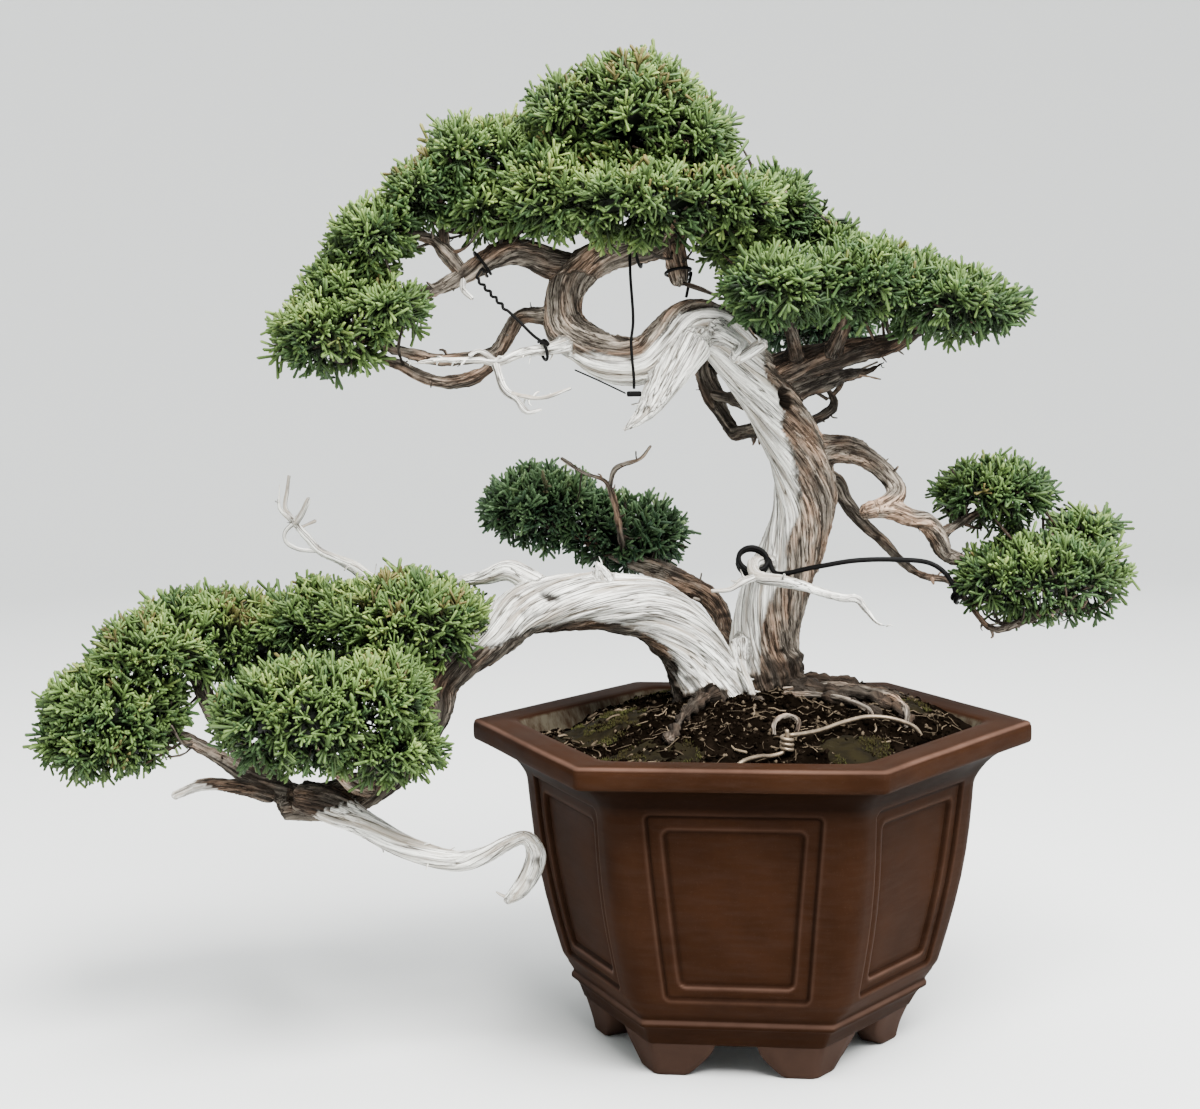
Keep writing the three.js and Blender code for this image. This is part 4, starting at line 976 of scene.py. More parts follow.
def face_stations(half, z):
    """Places along one face, close together where the panel's edges run."""
    inner = panel_half(FIELD, z) - CLOSE_INSIDE
    outer = min(panel_half(GROOVE, z) + CLOSE_OUTSIDE, half - 1)
    side = np.concatenate([
        np.linspace(0, inner, 5)[1:],
        np.linspace(inner, outer, 18)[1:],
        np.linspace(outer, half, 5)[1:],
    ])
    return np.concatenate([-side[::-1], [0], side])


def face_angle(face):
    """The outward direction of a face, as an angle in plan."""
    return np.radians(POT_TURN + FACE_TURN / 2 + FACE_TURN * face)


def hexagon_ring(corner, z, rounding):
    """Points round a six-sided section with rounded corners, and for each its place along its face and
    the number of that face."""
    flat = corner * math.cos(HALF_FACE)
    half = corner / 2 - rounding * math.tan(HALF_FACE)
    stations = face_stations(half, z)
    swing = np.radians(FACE_TURN) * np.arange(1, CORNER_STEPS) / CORNER_STEPS
    ring = []
    places = []
    for face in range(FACES):
        turn = face_angle(face)
        normal, along = way_at(turn), way_at(turn + math.pi / 2)
        ring.append(normal * flat + stations[:, None] * along)
        places.append(np.column_stack([stations, np.full(len(stations), face)]))
        ring.append(normal * (flat - rounding) + along * half + rounding * ways_at(turn + swing))
        places.append(np.full((CORNER_STEPS - 1, 2), OFF_FACE))
    return on_level(*np.vstack(ring).T, z), np.vstack(places)


def hand_made(points):
    """A pot's small lean: its body and rim lie a little further right than its feet."""
    swayed = points.copy()
    x, z = points[:, 0], points[:, 2]
    high = blend_between(4, 36, z)
    swayed[:, 0] += BODY_SHIFT * high - FOOT_SHIFT + high * blend_between(60, 130, x)
    swayed[:, 2] += RIM_LIFT * blend_between(118, 140, z) * blend_between(20, 125, x)
    return swayed


def body_rows():
    """The rows of the pot's body, between its foot band and the top of its faces."""
    slope = (BODY_TOP[0] - BODY_FOOT[0]) / (BODY_TOP[1] - BODY_FOOT[1])
    rows = []
    for z in BODY_HEIGHTS:
        corner = BODY_FOOT[0] + (z - BODY_FOOT[1]) * slope
        corner -= BODY_TUCK * blend_between(38, 31, z)
        corner += BODY_SWELL * math.sin(math.pi * min(1, max(0, (z - 34) / 84)))
        rows.append((corner, z, BODY_ROUNDING))
    return rows


def pressed_panel(places, z, settings):
    """How deep a row of the faces is pressed in at each point, and its painted shade and highlight."""
    on_face = places[:, 1] < FACES
    outer = panel_edge(GROOVE, places[:, 0], z)
    inner = panel_edge(FIELD, places[:, 0], z)
    deep = (
        settings.frame_step / MM * (1 - blend_between(-1.3, 0, outer))
        + 0.35 * bell(outer, -1.2, 0.7)
        - 0.3 * bell(inner, 2, 1.6)
        + settings.field_step / MM * (1 - blend_between(-1.6, 0.2, inner))
        + 0.3 * bell(inner, -1.4, 0.8)
    )
    # Painted shade in the grooves round the frame and the field, and under the rim.
    soot = 0.75 * bell(outer, -1.1, 0.7) + 0.6 * bell(inner, -1.2, 0.8)
    low = z < FIELD["bottom"] + 1
    # Painted highlights along the panels' edges, strongest on the field's bottom edge, which faces up.
    worn = 0.3 * bell(outer, 0.4, 0.6) + (1 if low else 0.3) * bell(inner, 0.5, 0.6)
    under_rim_shade = 0.6 * blend_between(118, 125, z)
    return np.where(on_face, deep, 0), np.where(on_face, soot, 0) + under_rim_shade, np.where(on_face, worn, 0)


def pot_body(settings):
    """The pot above its feet, with a framed panel on each face: its points, how many rows they make, and
    where it carries painted shade, painted highlights and lime."""
    rows = [(*row, "band") for row in FOOT_BAND]
    rows += [(*row, "face") for row in body_rows() + FACE_TOP]
    rows += [(*row, "under rim") for row in UNDER_RIM]
    rows += [(*row, "rim") for row in RIM_AND_INSIDE]
    body = Gathered()
    for corner, z, rounding, part in rows:
        points, places = hexagon_ring(corner, z, rounding)
        # Painted shade under the rim, and a little on the foot band.
        soot = 0.85 if part == "under rim" else 0.3 * (z < SHADED_BAND_RISE)
        # Painted highlights on the rim's and the foot band's edges.
        worn = float(z in HIGHLIT_EDGES)
        if part == "face":
            deep, soot, worn = pressed_panel(places, z, settings)
            points[:, :2] -= deep[:, None] * ways_at(face_angle(places[:, 1]))
        limed = LIME_BAND[0] < z < LIME_BAND[1] and corner < LIME_REACH
        body.add(points, [], soot=soot, lime=float(limed), worn=worn)
    points = body.all_points()
    waver = layered_clouds(points / 45, 3) * 0.35
    points[:, :2] += unit(points[:, :2]) * waver[:, None]
    return hand_made(points), len(rows), body.all_values()


def close_floor(bm, loop, holes):
    """Fills a ring of points round the rings of the holes."""
    edges = []
    for ring in [loop, *holes]:
        for first, second in zip(ring, ring[1:] + ring[:1]):
            edges.append(bm.edges.get((first, second)) or bm.edges.new((first, second)))
    bmesh.ops.triangle_fill(bm, edges=edges, use_beauty=True)


def pot_mesh(settings):
    """The pot's body with its floor, drain hole and tie-wire holes."""
    points, rows, kept = pot_body(settings)
    around = len(points) // rows
    mesh = mesh_of("pot_body", points, [skin(rows, around)])
    keep(mesh, **kept)
    bm = bmesh.new()
    bm.from_mesh(mesh)
    bm.verts.ensure_lookup_table()
    under = [bm.verts[i] for i in range(around)]
    top = [bm.verts[(rows - 1) * around + i] for i in range(around)]
    holes = [((0, 0), DRAIN_RADIUS, 40)] + [(place, TIE_HOLE_RADIUS, 16) for place in TIE_HOLES]
    rings = {FLOOR_UNDER: [], FLOOR_TOP: []}
    for (x, y), radius, count in holes:
        for z, held in rings.items():
            places = level_ring(radius, all_round(count), z) + np.array([x, y, 0]) + POT_AXIS
            held.append([bm.verts.new(place * MM) for place in places])
        low, high = rings[FLOOR_UNDER][-1], rings[FLOOR_TOP][-1]
        for k in range(count):
            after = (k + 1) % count
            bm.faces.new((low[after], low[k], high[k], high[after]))
    close_floor(bm, under, rings[FLOOR_UNDER])
    close_floor(bm, top, rings[FLOOR_TOP])
    bmesh.ops.recalc_face_normals(bm, faces=bm.faces)
    bm.to_mesh(mesh)
    bm.free()
    mesh.shade_smooth()
    return mesh


def foot_ring(corner_angle, z, arch, radius):
    """The section of one bracket foot at a height, anticlockwise from its right wing's end."""
    flat = radius * math.cos(HALF_FACE)
    reach = radius / 2
    inside = flat - FOOT_THICK
    inner_reach = reach - FOOT_THICK * math.tan(HALF_FACE)
    wing = [(flat - FOOT_EDGE, arch), (flat, arch + FOOT_EDGE)]
    wing += [(flat, arch + (reach - 3 - arch) * share) for share in (0.35, 0.7)]
    wing += [(inside + FOOT_EDGE, arch), (inside, min(arch + FOOT_EDGE, inner_reach)), (inside, inner_reach)]
    wings = []
    for sign in (1, -1):
        turn = corner_angle - sign * HALF_FACE
        out, along = way_at(turn), sign * way_at(turn + math.pi / 2)
        wings.append([out * far + along * aside for far, aside in wing])
    first, second = wings
    middle = way_at(corner_angle) * (radius - FOOT_TOE_DEPTH)
    toe = [middle + FOOT_TOE * way_at(corner_angle + math.radians(15 * k)) for k in range(-2, 3)]
    return on_level(*np.array(first[:4] + toe + second[3::-1] + second[4:6] + first[:3:-1]).T, z)


def pot_feet():
    """The six bracket feet, with curved arches between them."""
    feet = Gathered()
    arch_z, arch_half = zip(*FOOT_ARCH)
    for k in range(FACES):
        rings = []
        for z in FOOT_HEIGHTS:
            radius = FOOT_CORNERS[0] + (FOOT_CORNERS[1] - FOOT_CORNERS[0]) * (z / FLOOR_UNDER) ** 1.4
            tuck = SOLE_TUCK * max(0, 1 - z / SOLE_RISE) ** 2
            arch = float(np.interp(z, arch_z, arch_half)) + tuck
            rings.append(foot_ring(math.radians(POT_TURN + FACE_TURN * k), z, arch, radius - tuck))
        points, faces = closed(rings, rings[0].mean(axis=0), rings[-1].mean(axis=0))
        feet.add(hand_made(points), faces)
    return feet


def clay_finish(name, color, paler):
    """Satin unglazed clay: wiped streaks, fine specks, painted shade and highlights, limed above the soil."""
    finish = Finish(name, 0.5, 0.008)
    place = finish.place()
    blotch = finish.noise(place, 22, 4, 0.6)
    wiped = finish.noise(finish.scaled(place, (60, 60, 420)), 1, 3, 0.6)
    speck = finish.noise(place, 1500, 2, 0.5)
    deep = finish.ramp(blotch, [(0.3, color, 0.72), (0.5, color), (0.72, color, 1.3)])
    bloom = finish.patched(deep, wiped, 0.42, 0.75, 0.32, tinted(paler, 0.8))
    fired = finish.patched(bloom, speck, 0.62, 0.74, 0.3, tinted(paler, 1.1))
    # Painted highlights on the edges.
    highlit = finish.times(finish.kept("worn"), finish.ramp(blotch, [(0.35, 0.4), (0.65, 0.9)]))
    fired = finish.mix(highlit, fired, tinted(paler, 2.6))
    # Painted shade in the grooves, under the rim and on the foot band.
    sooty = finish.mix(finish.kept("soot"), fired, tinted(color, 0.2))
    drips = finish.noise(finish.scaled(place, (160, 160, 60)), 1, 4, 0.65)
    marks = finish.times(finish.kept("lime"), finish.ramp(drips, [(0.4, 0.15), (0.62, 0.85)]))
    finish.color(finish.mix(marks, sooty, (0.07, 0.062, 0.044)))
    finish.rough(finish.ramp(blotch, [(0.3, 0.45), (0.7, 0.55)]))
    finish.bump(finish.mix(0.4, wiped, speck), 0.00012, 0.5)
    return finish.material


class JUNIPER_OT_pot(bpy.types.Operator):
    """Makes the pot with its framed panels, rim, holes and bracket feet"""

    bl_idname = "juniper.pot"
    bl_label = "Pot"

    def execute(self, context):
        settings = context.scene.juniper.pot
        clay, bare = tuple(settings.clay), tuple(settings.bare_clay)
        piece("pot_body", pot_mesh(settings), clay_finish("Satin clay", clay, bare), "clay", "pot")
        feet = pot_feet()
        mesh = mesh_of("pot_feet", feet.all_points(), feet.faces)
        piece("pot_feet", mesh, clay_finish("Bare clay", bare, tinted(bare, 1.35)), "clay", "pot")
        return {"FINISHED"}


# Soil and moss

# How far the corners of the soil and of the pot's mouth are rounded off.
MOUTH_CUT = 1.56
# The sides of the soil, as corner sizes and heights, and the corner size of its top.
SOIL_SIDES = [(60, FLOOR_TOP + 0.4), (67, FLOOR_TOP + 0.5), (76, 42), (93.6, 116), (103.4, 136)]
SOIL_CORNER = 104.6
SOIL_POINTS_ROUND = 220
SOIL_TOP_ROWS = 74


def soil_height(x, y):
    """The smooth height of the soil."""
    left = 1 - ((x - MOUND_CENTRE[0]) / MOUND_HALF[0]) ** 2 - ((y - MOUND_CENTRE[1]) / MOUND_HALF[1]) ** 2
    mound = MOUND_CENTRE[2] + MOUND_HALF[2] * np.sqrt(np.maximum(left, 0))
    return np.logaddexp(mound * MOUND_EASE, SOIL_EDGE * MOUND_EASE) / MOUND_EASE


def rough_soil(x, y):
    """The height of the soil with its lumps."""
    flat = on_level(x, y)
    rise = 1.3 * layered_clouds(flat / 13, 5) + 1.1 * clouds(flat / 4.2, 9) + 0.6 * clouds(flat / 1.9, 12)
    return soil_height(x, y) + rise - 0.7


def hexagon_reach(angle, corner):
    """How far the edge of a six-sided section with soft corners is in each direction."""
    local = (angle - math.radians(POT_TURN)) % (2 * HALF_FACE) - HALF_FACE
    return np.minimum(corner * math.cos(HALF_FACE) / np.cos(local), corner - MOUTH_CUT)


def soil_mesh():
    """The soil: a lumpy top and plain sides down to the pot's floor."""
    angle = all_round(SOIL_POINTS_ROUND)
    rings = [level_ring(hexagon_reach(angle, corner), angle, z) for corner, z in SOIL_SIDES]
    edge = hexagon_reach(angle, SOIL_CORNER)
    for share in np.linspace(1, 0.04, SOIL_TOP_ROWS) ** 0.8:
        ring = level_ring(edge * share, angle, 0)
        ring[:, 2] = rough_soil(*ring[:, :2].T)
        rings.append(ring)
    return closed(rings, (0, 0, SOIL_SIDES[0][1]), (0, 0, rings[-1][0, 2]))


def scattered(rng, count, corner):
    """Random places inside the pot's mouth."""
    found = np.empty((0, 2))
    while len(found) < count:
        tried = rng.uniform(-corner, corner, (count * 2, 2))
        reach = hexagon_reach(np.arctan2(tried[:, 1], tried[:, 0]), corner)
        found = np.vstack([found, tried[np.hypot(*tried.T) < reach]])
    return found[:count]


OCTAHEDRON = np.array([(1, 0, 0), (-1, 0, 0), (0, 1, 0), (0, -1, 0), (0, 0, 1), (0, 0, -1)], float)
OCTAHEDRON_FACES = np.array([
    (0, 2, 4), (2, 1, 4), (1, 3, 4), (3, 0, 4), (2, 0, 5), (1, 2, 5), (3, 1, 5), (0, 3, 5),
])


def loose_grains(rng, count, gathered):
    """Small lumps of soil and grit on the surface."""
    places = scattered(rng, count, 100)
    size = rng.uniform(0.35, 1.0, count) ** 1.5 * 1.25 + 0.15
    shape = OCTAHEDRON[None] * (1 + rng.uniform(-0.35, 0.35, (count, 6, 3))) * size[:, None, None]
    points = shape + np.column_stack([places, rough_soil(*places.T) + size * 0.3])[:, None]
    faces = OCTAHEDRON_FACES[None] + 6 * np.arange(count)[:, None, None]
    pale = rng.random(count) < 0.13
    tone = np.where(pale, rng.uniform(0.6, 0.85, count), rng.uniform(0.02, 0.45, count))
    reach = np.tile(OCTAHEDRON[:, 2] * 0.3 + 0.5, count)
    gathered.add(points.reshape(-1, 3), [faces.reshape(-1, 3)], tone=np.repeat(tone, 6), reach=reach)


def loose_fibres(rng, count, gathered):
    """Dry roots and fibres that lie on the surface in loose curves."""
    steps = np.linspace(-0.5, 0.5, 4)
    for x, y in scattered(rng, count, 98):
        turn = rng.uniform(0, FULL_TURN)
        length = rng.uniform(1.5, 10)
        bow = rng.uniform(-0.35, 0.35) * length
        along = steps * length
        aside = bow * (0.25 - steps**2) * 2
        fx = x + along * math.cos(turn) - aside * math.sin(turn)
        fy = y + along * math.sin(turn) + aside * math.cos(turn)
        radius = rng.uniform(0.13, 0.34) if rng.random() < 0.93 else rng.uniform(0.5, 0.9)
        z = rough_soil(fx, fy) + radius + rng.uniform(0, 0.8)
        rows = np.column_stack([fx, fy, z, np.full(len(steps), radius)])
        points, faces, _ = tube(rows, length / 3, 3)
        gathered.add(points, faces, tone=rng.uniform(0.5, 0.98), reach=0.5)


def soil_finish(settings):
    """Damp soil: near-black lumps, brown crumbs, tan fibres and a few pale grits."""
    earth, fibre = tuple(settings.earth), tuple(settings.fibre)
    finish = Finish("Damp soil", 0.85, 0)
    tone, _ = finish.swatch()
    finish.color(finish.ramp(tone, [
        (0, earth, 0.4), (0.2, earth), (0.42, earth, 2.6), (0.55, fibre, 0.3), (0.8, fibre, 0.7),
        (1, fibre, 1.9),
    ]))
    finish.bump(finish.noise(finish.place(), 900, 4, 0.7), 0.0006, 0.8)
    return finish.material


# Moss shoots for each square millimetre of a quarter of a cushion's box, before the gaps are left out.
MOSS_SHOOTS = 4.2
THIRD_TURN = 2.094
# Faces of one shoot, which has three points at its foot and one at its tip.
SHOOT_FACES = np.array([(0, 1, 3), (1, 2, 3), (2, 0, 3), (0, 2, 1)])


def moss_top(name, share, turn):
    """Places on a cushion, from their share of the way out and their angle: in plan, and their heights."""
    x, y, half_length, half_depth = MOSS[name]
    flat = on_level(x + half_length * share * np.cos(turn), y + half_depth * share * np.sin(turn))
    swell = np.sqrt(np.maximum(0, 1 - share**2)) * (0.75 + 0.7 * clouds(flat / 6, 21))
    return flat, soil_height(*flat[:, :2].T) + 0.55 * MOSS_RISE * swell


def moss_dome(name, gathered):
    """The low uneven dome of a moss cushion."""
    rings = []
    for share in np.linspace(1, 0.05, 10):
        flat, z = moss_top(name, share, all_round(44))
        rings.append(np.column_stack([flat[:, :2], z - 0.9 + 0.7 * clouds(flat / 2, 22)]))
    under = rings[0] - np.array([0, 0, 2.5])
    points, faces = closed([under, *rings], under.mean(axis=0), rings[-1].mean(axis=0))
    gathered.add(points, faces, tone=0.1 + 0.16 * clouds(points / 3, 23), reach=0.25)


def moss_shoots(rng, name, gathered):
    """The short pointed shoots of a moss cushion, with gaps between them."""
    count = int(MOSS[name][2] * MOSS[name][3] * MOSS_SHOOTS)
    share = np.sqrt(rng.random(count)) * 1.04
    flat, z = moss_top(name, share, rng.uniform(0, FULL_TURN, count))
    kept = clouds(flat / 7, 31) + 0.5 * clouds(flat / 3, 32) > 0.05 + 0.25 * share
    flat, foot = flat[kept], flat[kept] + np.outer(z[kept] - 1.1, (0, 0, 1))
    count = len(flat)
    lean = rng.normal(0, 0.35, (count, 2))
    high = rng.uniform(0.9, 1.9, (count, 1))
    thick = rng.uniform(0.28, 0.45, count)
    spin = rng.uniform(0, FULL_TURN, count)
    corners = [foot + level_ring(thick, spin + k * THIRD_TURN, 0) for k in range(3)]
    corners.append(foot + np.column_stack([lean, np.ones(count)]) * high)
    points = np.stack(corners, axis=1).reshape(-1, 3)
    faces = SHOOT_FACES[None] + 4 * np.arange(count)[:, None, None]
    tone = np.repeat(0.5 + 0.3 * clouds(flat / 9, 33) + rng.uniform(-0.2, 0.2, count), 4)
    tone += np.tile([0, 0.01, -0.01, 0], count)
    gathered.add(points, [faces.reshape(-1, 3)], tone=tone, reach=np.tile([0.1, 0.12, 0.14, 0.95], count))


def moss_mesh(rng, name):
    """One moss cushion."""
    gathered = Gathered()
    moss_dome(name, gathered)
    moss_shoots(rng, name, gathered)
    return swatch_mesh(name + "_cushion", gathered)


def moss_finish(settings):
    """Short moss: brown at its foot and dry yellow-green at its tips."""
    moss = tuple(settings.moss)
    finish = Finish("Moss", 0.9, 0.05)
    tone, reach = finish.swatch()
    body = finish.ramp(tone, [
        (0, (0.008, 0.006, 0.003)), (0.35, (0.025, 0.02, 0.007)), (0.6, moss), (1, moss, 2),
    ])
    finish.color(finish.times(body, finish.ramp(reach, [(0, 0.3), (0.4, 0.65), (1, 1.0)])))
    return finish.material


class JUNIPER_OT_soil(bpy.types.Operator):
    """Makes the soil with its grains and fibres, and the moss cushions on it"""

    bl_idname = "juniper.soil"
    bl_label = "Soil and moss"

    def execute(self, context):
        settings = context.scene.juniper.soil
        rng = np.random.default_rng(SEED)
        gathered = Gathered()
        points, faces = soil_mesh()
        tone = 0.17 + 0.12 * layered_clouds(points / 9, 6) + 0.12 * clouds(points / 2, 7)
        gathered.add(points, faces, tone=tone, reach=0.5)
        loose_grains(rng, settings.grains, gathered)
        loose_fibres(rng, settings.fibres, gathered)
        piece("soil_surface", swatch_mesh("soil_surface", gathered), soil_finish(settings), "earth", "soil")
        finish = moss_finish(settings)
        for name in MOSS:
            piece(name + "_cushion", moss_mesh(rng, name), finish, "moss", name)
        return {"FINISHED"}


# Wood


def is_bare(name):
    """Whether a limb carries no bark."""
    return any(part in name for part in BARE_NAMES)


def bark_cover(name, share, normals):
    """How surely there is bark at points with these outward directions: above 0 there is, below 0 not."""
    if is_bare(name) and name not in BARK_STRIPS:
        return np.full(len(share), -2.0)
    if name not in BARK_STRIPS:
        return np.full(len(share), 2.0)
    stops, sides, covers = zip(*BARK_STRIPS[name])
    side = np.column_stack([np.interp(share, stops, column) for column in zip(*sides)])
    return np.sum(unit(side) * normals, axis=1) + np.interp(share, stops, covers)


# How far the grain twists along a limb, in radians to the millimetre, and how far apart the limbs lie in the
# space that the grain is read from, with the thin limbs after the thick ones.
GRAIN_TWIST = 0.022
GRAIN_APART = 61
FINE_WOOD_START = 3000
# A limb of this radius or more has its grain and bark at full depth.
FULL_RADIUS = 9


def grain_place(radius, angle, length, offset):
    """Where a point lies in a limb that has been untwisted and laid straight, in millimetres."""
    turned = angle + length * GRAIN_TWIST
    return np.column_stack([radius * np.cos(turned), radius * np.sin(turned), length + offset])


def lumps(grain, across, along, seed):
    """Noise on a limb's straightened places, with lumps of this width and length."""
    return clouds(grain / np.array([across, across, along]), seed)


def ridges(grain, across, along, seed):
    """Noise that is 1 on sharp ridges along a limb and falls off to -1 between them."""
    return 1 - 2 * np.abs(lumps(grain, across, along, seed))


def wood_relief(grain, radius, bark, strength):
    """How far the wood stands proud at each point, and how shaded it is there."""
    size = np.clip(radius / FULL_RADIUS, 0.12, 1)
    ridge = ridges(grain, 3.2, 52, 3)
    fine = ridges(grain, 1.7, 30, 4)
    bare = size * (0.95 * ridges(grain, 7, 95, 2) + 0.75 * ridge) + 0.3 * size**0.5 * fine
    bare += 0.6 * size * lumps(grain, 6, 18, 17)
    plate = blend_between(-0.12, 0.14, lumps(grain, 2.8, 20, 5))
    flake = blend_between(-0.12, 0.1, lumps(grain, 1.8, 9, 6))
    wrinkle = lumps(grain, 6, 2.4, 19) * blend_between(7.5, 5, radius)
    rough = size**0.7 * (0.9 * plate + 0.6 * flake + 0.5 * lumps(grain, 5, 13, 8)) - 0.1
    rough += size**0.6 * (0.3 * clouds(grain / 1.6, 10) + 0.5 * wrinkle)
    height = (bare * (1 - bark) + (rough + 0.4 * size) * bark) * strength
    shade_bare = blend_between(-0.2, -0.95, ridge) * 0.5 + blend_between(-0.4, -0.95, fine) * 0.45
    shade_bark = (1 - plate) * 0.5 + (1 - flake) * 0.22 + blend_between(-0.1, -0.6, wrinkle) * 0.25
    return height, np.clip(shade_bare * (1 - bark) + shade_bark * bark, 0, 1)


def bark_at(cover, grain):
    """Bark from 0 to 1, with a ragged edge that runs along the grain, and the dark seam at that edge."""
    ragged = cover + 0.2 * lumps(grain, 5, 42, 14) + 0.09 * lumps(grain, 1.8, 12, 15)
    seam = bell(ragged, 0, 0.075) * (0.3 + 0.7 * blend_between(-0.3, 0.3, clouds(grain / 16, 16)))
    return blend_between(-0.03, 0.05, ragged), seam


def dent(points, values, places, strength):
    """The values with the hollows or knots at these places added to them."""
    for place, reach, depth in places:
        gap = np.linalg.norm(points - np.array(place), axis=1)
        values += strength * depth * np.exp(-((gap / reach) ** 4))
    return values


# Where a row of LimbLines has each of its numbers.
PLACE, RADIUS, ALONG, SHARE, NUMBER = slice(0, 3), 3, 4, 5, 6
HEADING, ACROSS, SIDE = slice(7, 10), slice(10, 13), slice(13, 16)
# How many points are looked up at a time, and over how many millimetres one limb passes into the next.
POINTS_AT_ONCE = 6000
LIMB_BLEND = 1.8


class LimbLines:
    """The middle lines of several limbs, to find which limb a point belongs to and where on it."""

    def __init__(self, names):
        self.names = names
        rows = []
        for number, name in enumerate(names):
            line, at = even_route(LIMBS[name], 2.5)
            heading, across, side = frames_along(line[:, PLACE])
            numbers = np.full(len(line), number)
            rows.append(np.column_stack([line, at, at / at[-1], numbers, heading, across, side]))
        self.rows = np.vstack(rows)

    def read(self, points):
        """The row of numbers of the nearest middle point for every point, nearest by the limb's skin, and
        how much each limb has to say there."""
        centres = self.rows[:, PLACE]
        squares = (centres**2).sum(axis=1)
        starts = np.searchsorted(self.rows[:, NUMBER], np.arange(len(self.names)))
        best = np.empty(len(points), dtype=int)
        gaps = np.empty((len(points), len(self.names)))
        for start in range(0, len(points), POINTS_AT_ONCE):
            these = slice(start, start + POINTS_AT_ONCE)
            part = points[these]
            gap = np.maximum((part**2).sum(axis=1)[:, None] + squares - 2 * part @ centres.T, 0)
            skin_gap = np.sqrt(gap) - self.rows[:, RADIUS]
            best[these] = skin_gap.argmin(axis=1)
            gaps[these] = np.minimum.reduceat(skin_gap, starts, axis=1)
        weights = np.exp(-(gaps - gaps.min(axis=1, keepdims=True)) / LIMB_BLEND)
        return self.rows[best], weights / weights.sum(axis=1, keepdims=True)


def grain_on(points, normals, lines):
    """Straightened places, radii, bark cover and bark tone with painted shade, of points on several limbs."""
    rows, weights = lines.read(points)
    away = points - rows[:, PLACE]
    ahead = np.sum(away * rows[:, HEADING], axis=1)
    away -= ahead[:, None] * rows[:, HEADING]
    angle = np.arctan2(np.sum(away * rows[:, SIDE], axis=1), np.sum(away * rows[:, ACROSS], axis=1))
    length = rows[:, ALONG] + ahead
    grain = grain_place(np.linalg.norm(away, axis=1), angle, length, rows[:, NUMBER] * GRAIN_APART)
    cover = np.zeros(len(points))
    tone = np.zeros(len(points))
    for number, name in enumerate(lines.names):
        weight = weights[:, number]
        share = np.where(rows[:, NUMBER] == number, rows[:, SHARE], 0.02)
        cover += weight * np.where(weight > 0.01, bark_cover(name, share, normals), 0)
        tone += weight * BARK_TONES_AND_SHADE.get(name, 1)
    return grain, rows[:, RADIUS], cover, tone


def joined_limbs(name, limbs, voxel):
    """One smooth skin round several limbs."""
    raw = Gathered()
    for limb in limbs:
        points, faces, _ = tube(LIMBS[limb], 1.5, 28)
        raw.add(points, faces)
    source = in_scene(name + "_raw", mesh_of(name + "_raw", raw.all_points(), raw.faces))
    fuse = source.modifiers.new("Fuse", "REMESH")
    fuse.mode = "VOXEL"
    fuse.voxel_size = voxel
    ease = source.modifiers.new("Ease", "SMOOTH")
    ease.factor = 0.5
    ease.iterations = 5
    shaped = source.evaluated_get(bpy.context.evaluated_depsgraph_get())
    mesh = bpy.data.meshes.new_from_object(shaped)
    mesh.name = name
    bpy.data.objects.remove(source)
    mesh.shade_smooth()
    return mesh


def collar_at(points):
    """How far each point lies in the collar of rough bark at the trunks' feet, from 0 to 1."""
    x, y, z = points.T
    top = COLLAR_RISE + 10 * blend_between(4, 12, x) + 7 * clouds(points / 5, 24)
    return blend_between(top, top - 6, z - soil_height(x, y)) * (np.hypot(x, y) < COLLAR_REACH)


def fused_wood(name, limbs, settings):
    """One skin round thick limbs, with grain and bark pressed into it."""
    mesh = joined_limbs(name, limbs, settings.voxel)
    points = rows_of(mesh.vertices, "co") / MM - POT_AXIS
    normals = rows_of(mesh.vertex_normals, "vector")
    grain, radius, cover, tone = grain_on(points, normals, LimbLines(limbs))
    cover = dent(points, cover, KNOTS, -1.2)
    bark, seam = bark_at(cover, grain)
    height, shade = wood_relief(grain, radius, bark, settings.relief)
    height -= 0.9 * seam * np.clip(radius / FULL_RADIUS, 0.2, 1)
    shade = np.maximum(shade, seam * 0.95)
    height = dent(points, height, HOLLOWS, -1)
    height = dent(points, height, KNOTS, 1)
    shade = np.clip(dent(points, shade, HOLLOWS, 0.55), 0, 1)
    collar = collar_at(points)
    bark = np.maximum(bark, collar * bark_at(cover + 0.5, grain)[0])
    # The collar is darkened towards the soil through the shade.
    shade = np.maximum(shade, collar * 0.93 * bark)
    height += collar * bark * (0.6 + 2.2 * layered_clouds(points / 3.4, 20))
    put_points(mesh, points + normals * height[:, None])
    keep(mesh, grain=grain, bark=bark, shade=shade, tone=tone)
    return mesh


def fine_wood(piece_name, limbs, settings):
    """Thin limbs as tubes of their own, each with its root inside what carries it. Each limb is a name for
    its bark, its rows, the step along it and its sides."""
    gathered = Gathered()
    for number, (name, rows, step, sides) in enumerate(limbs):
        points, faces, along = tube(rows, step, sides)
        radius, length, out = along["radius"], along["length"], along["out"]
        grain = grain_place(radius, along["angle"], length, number * GRAIN_APART + FINE_WOOD_START)
        bark, _ = bark_at(bark_cover(name, length / length.max(), out), grain)
        height, shade = wood_relief(grain * 1.6, radius, bark, settings.relief)
        swell = 0.3 * radius * clouds(grain / 4, 18)
        shaped = points + out * (height * 0.8 + swell)[:, None]
        # The bark's tone, with painted shade for the limbs and twigs under the pads.
        tone = float(BARK_TONES_AND_SHADE.get(name, 1))
        gathered.add(shaped, faces, grain=grain, bark=bark, shade=shade, tone=tone)
    mesh = mesh_of(piece_name, gathered.all_points(), gathered.faces)
    keep(mesh, **gathered.all_values())
    return mesh


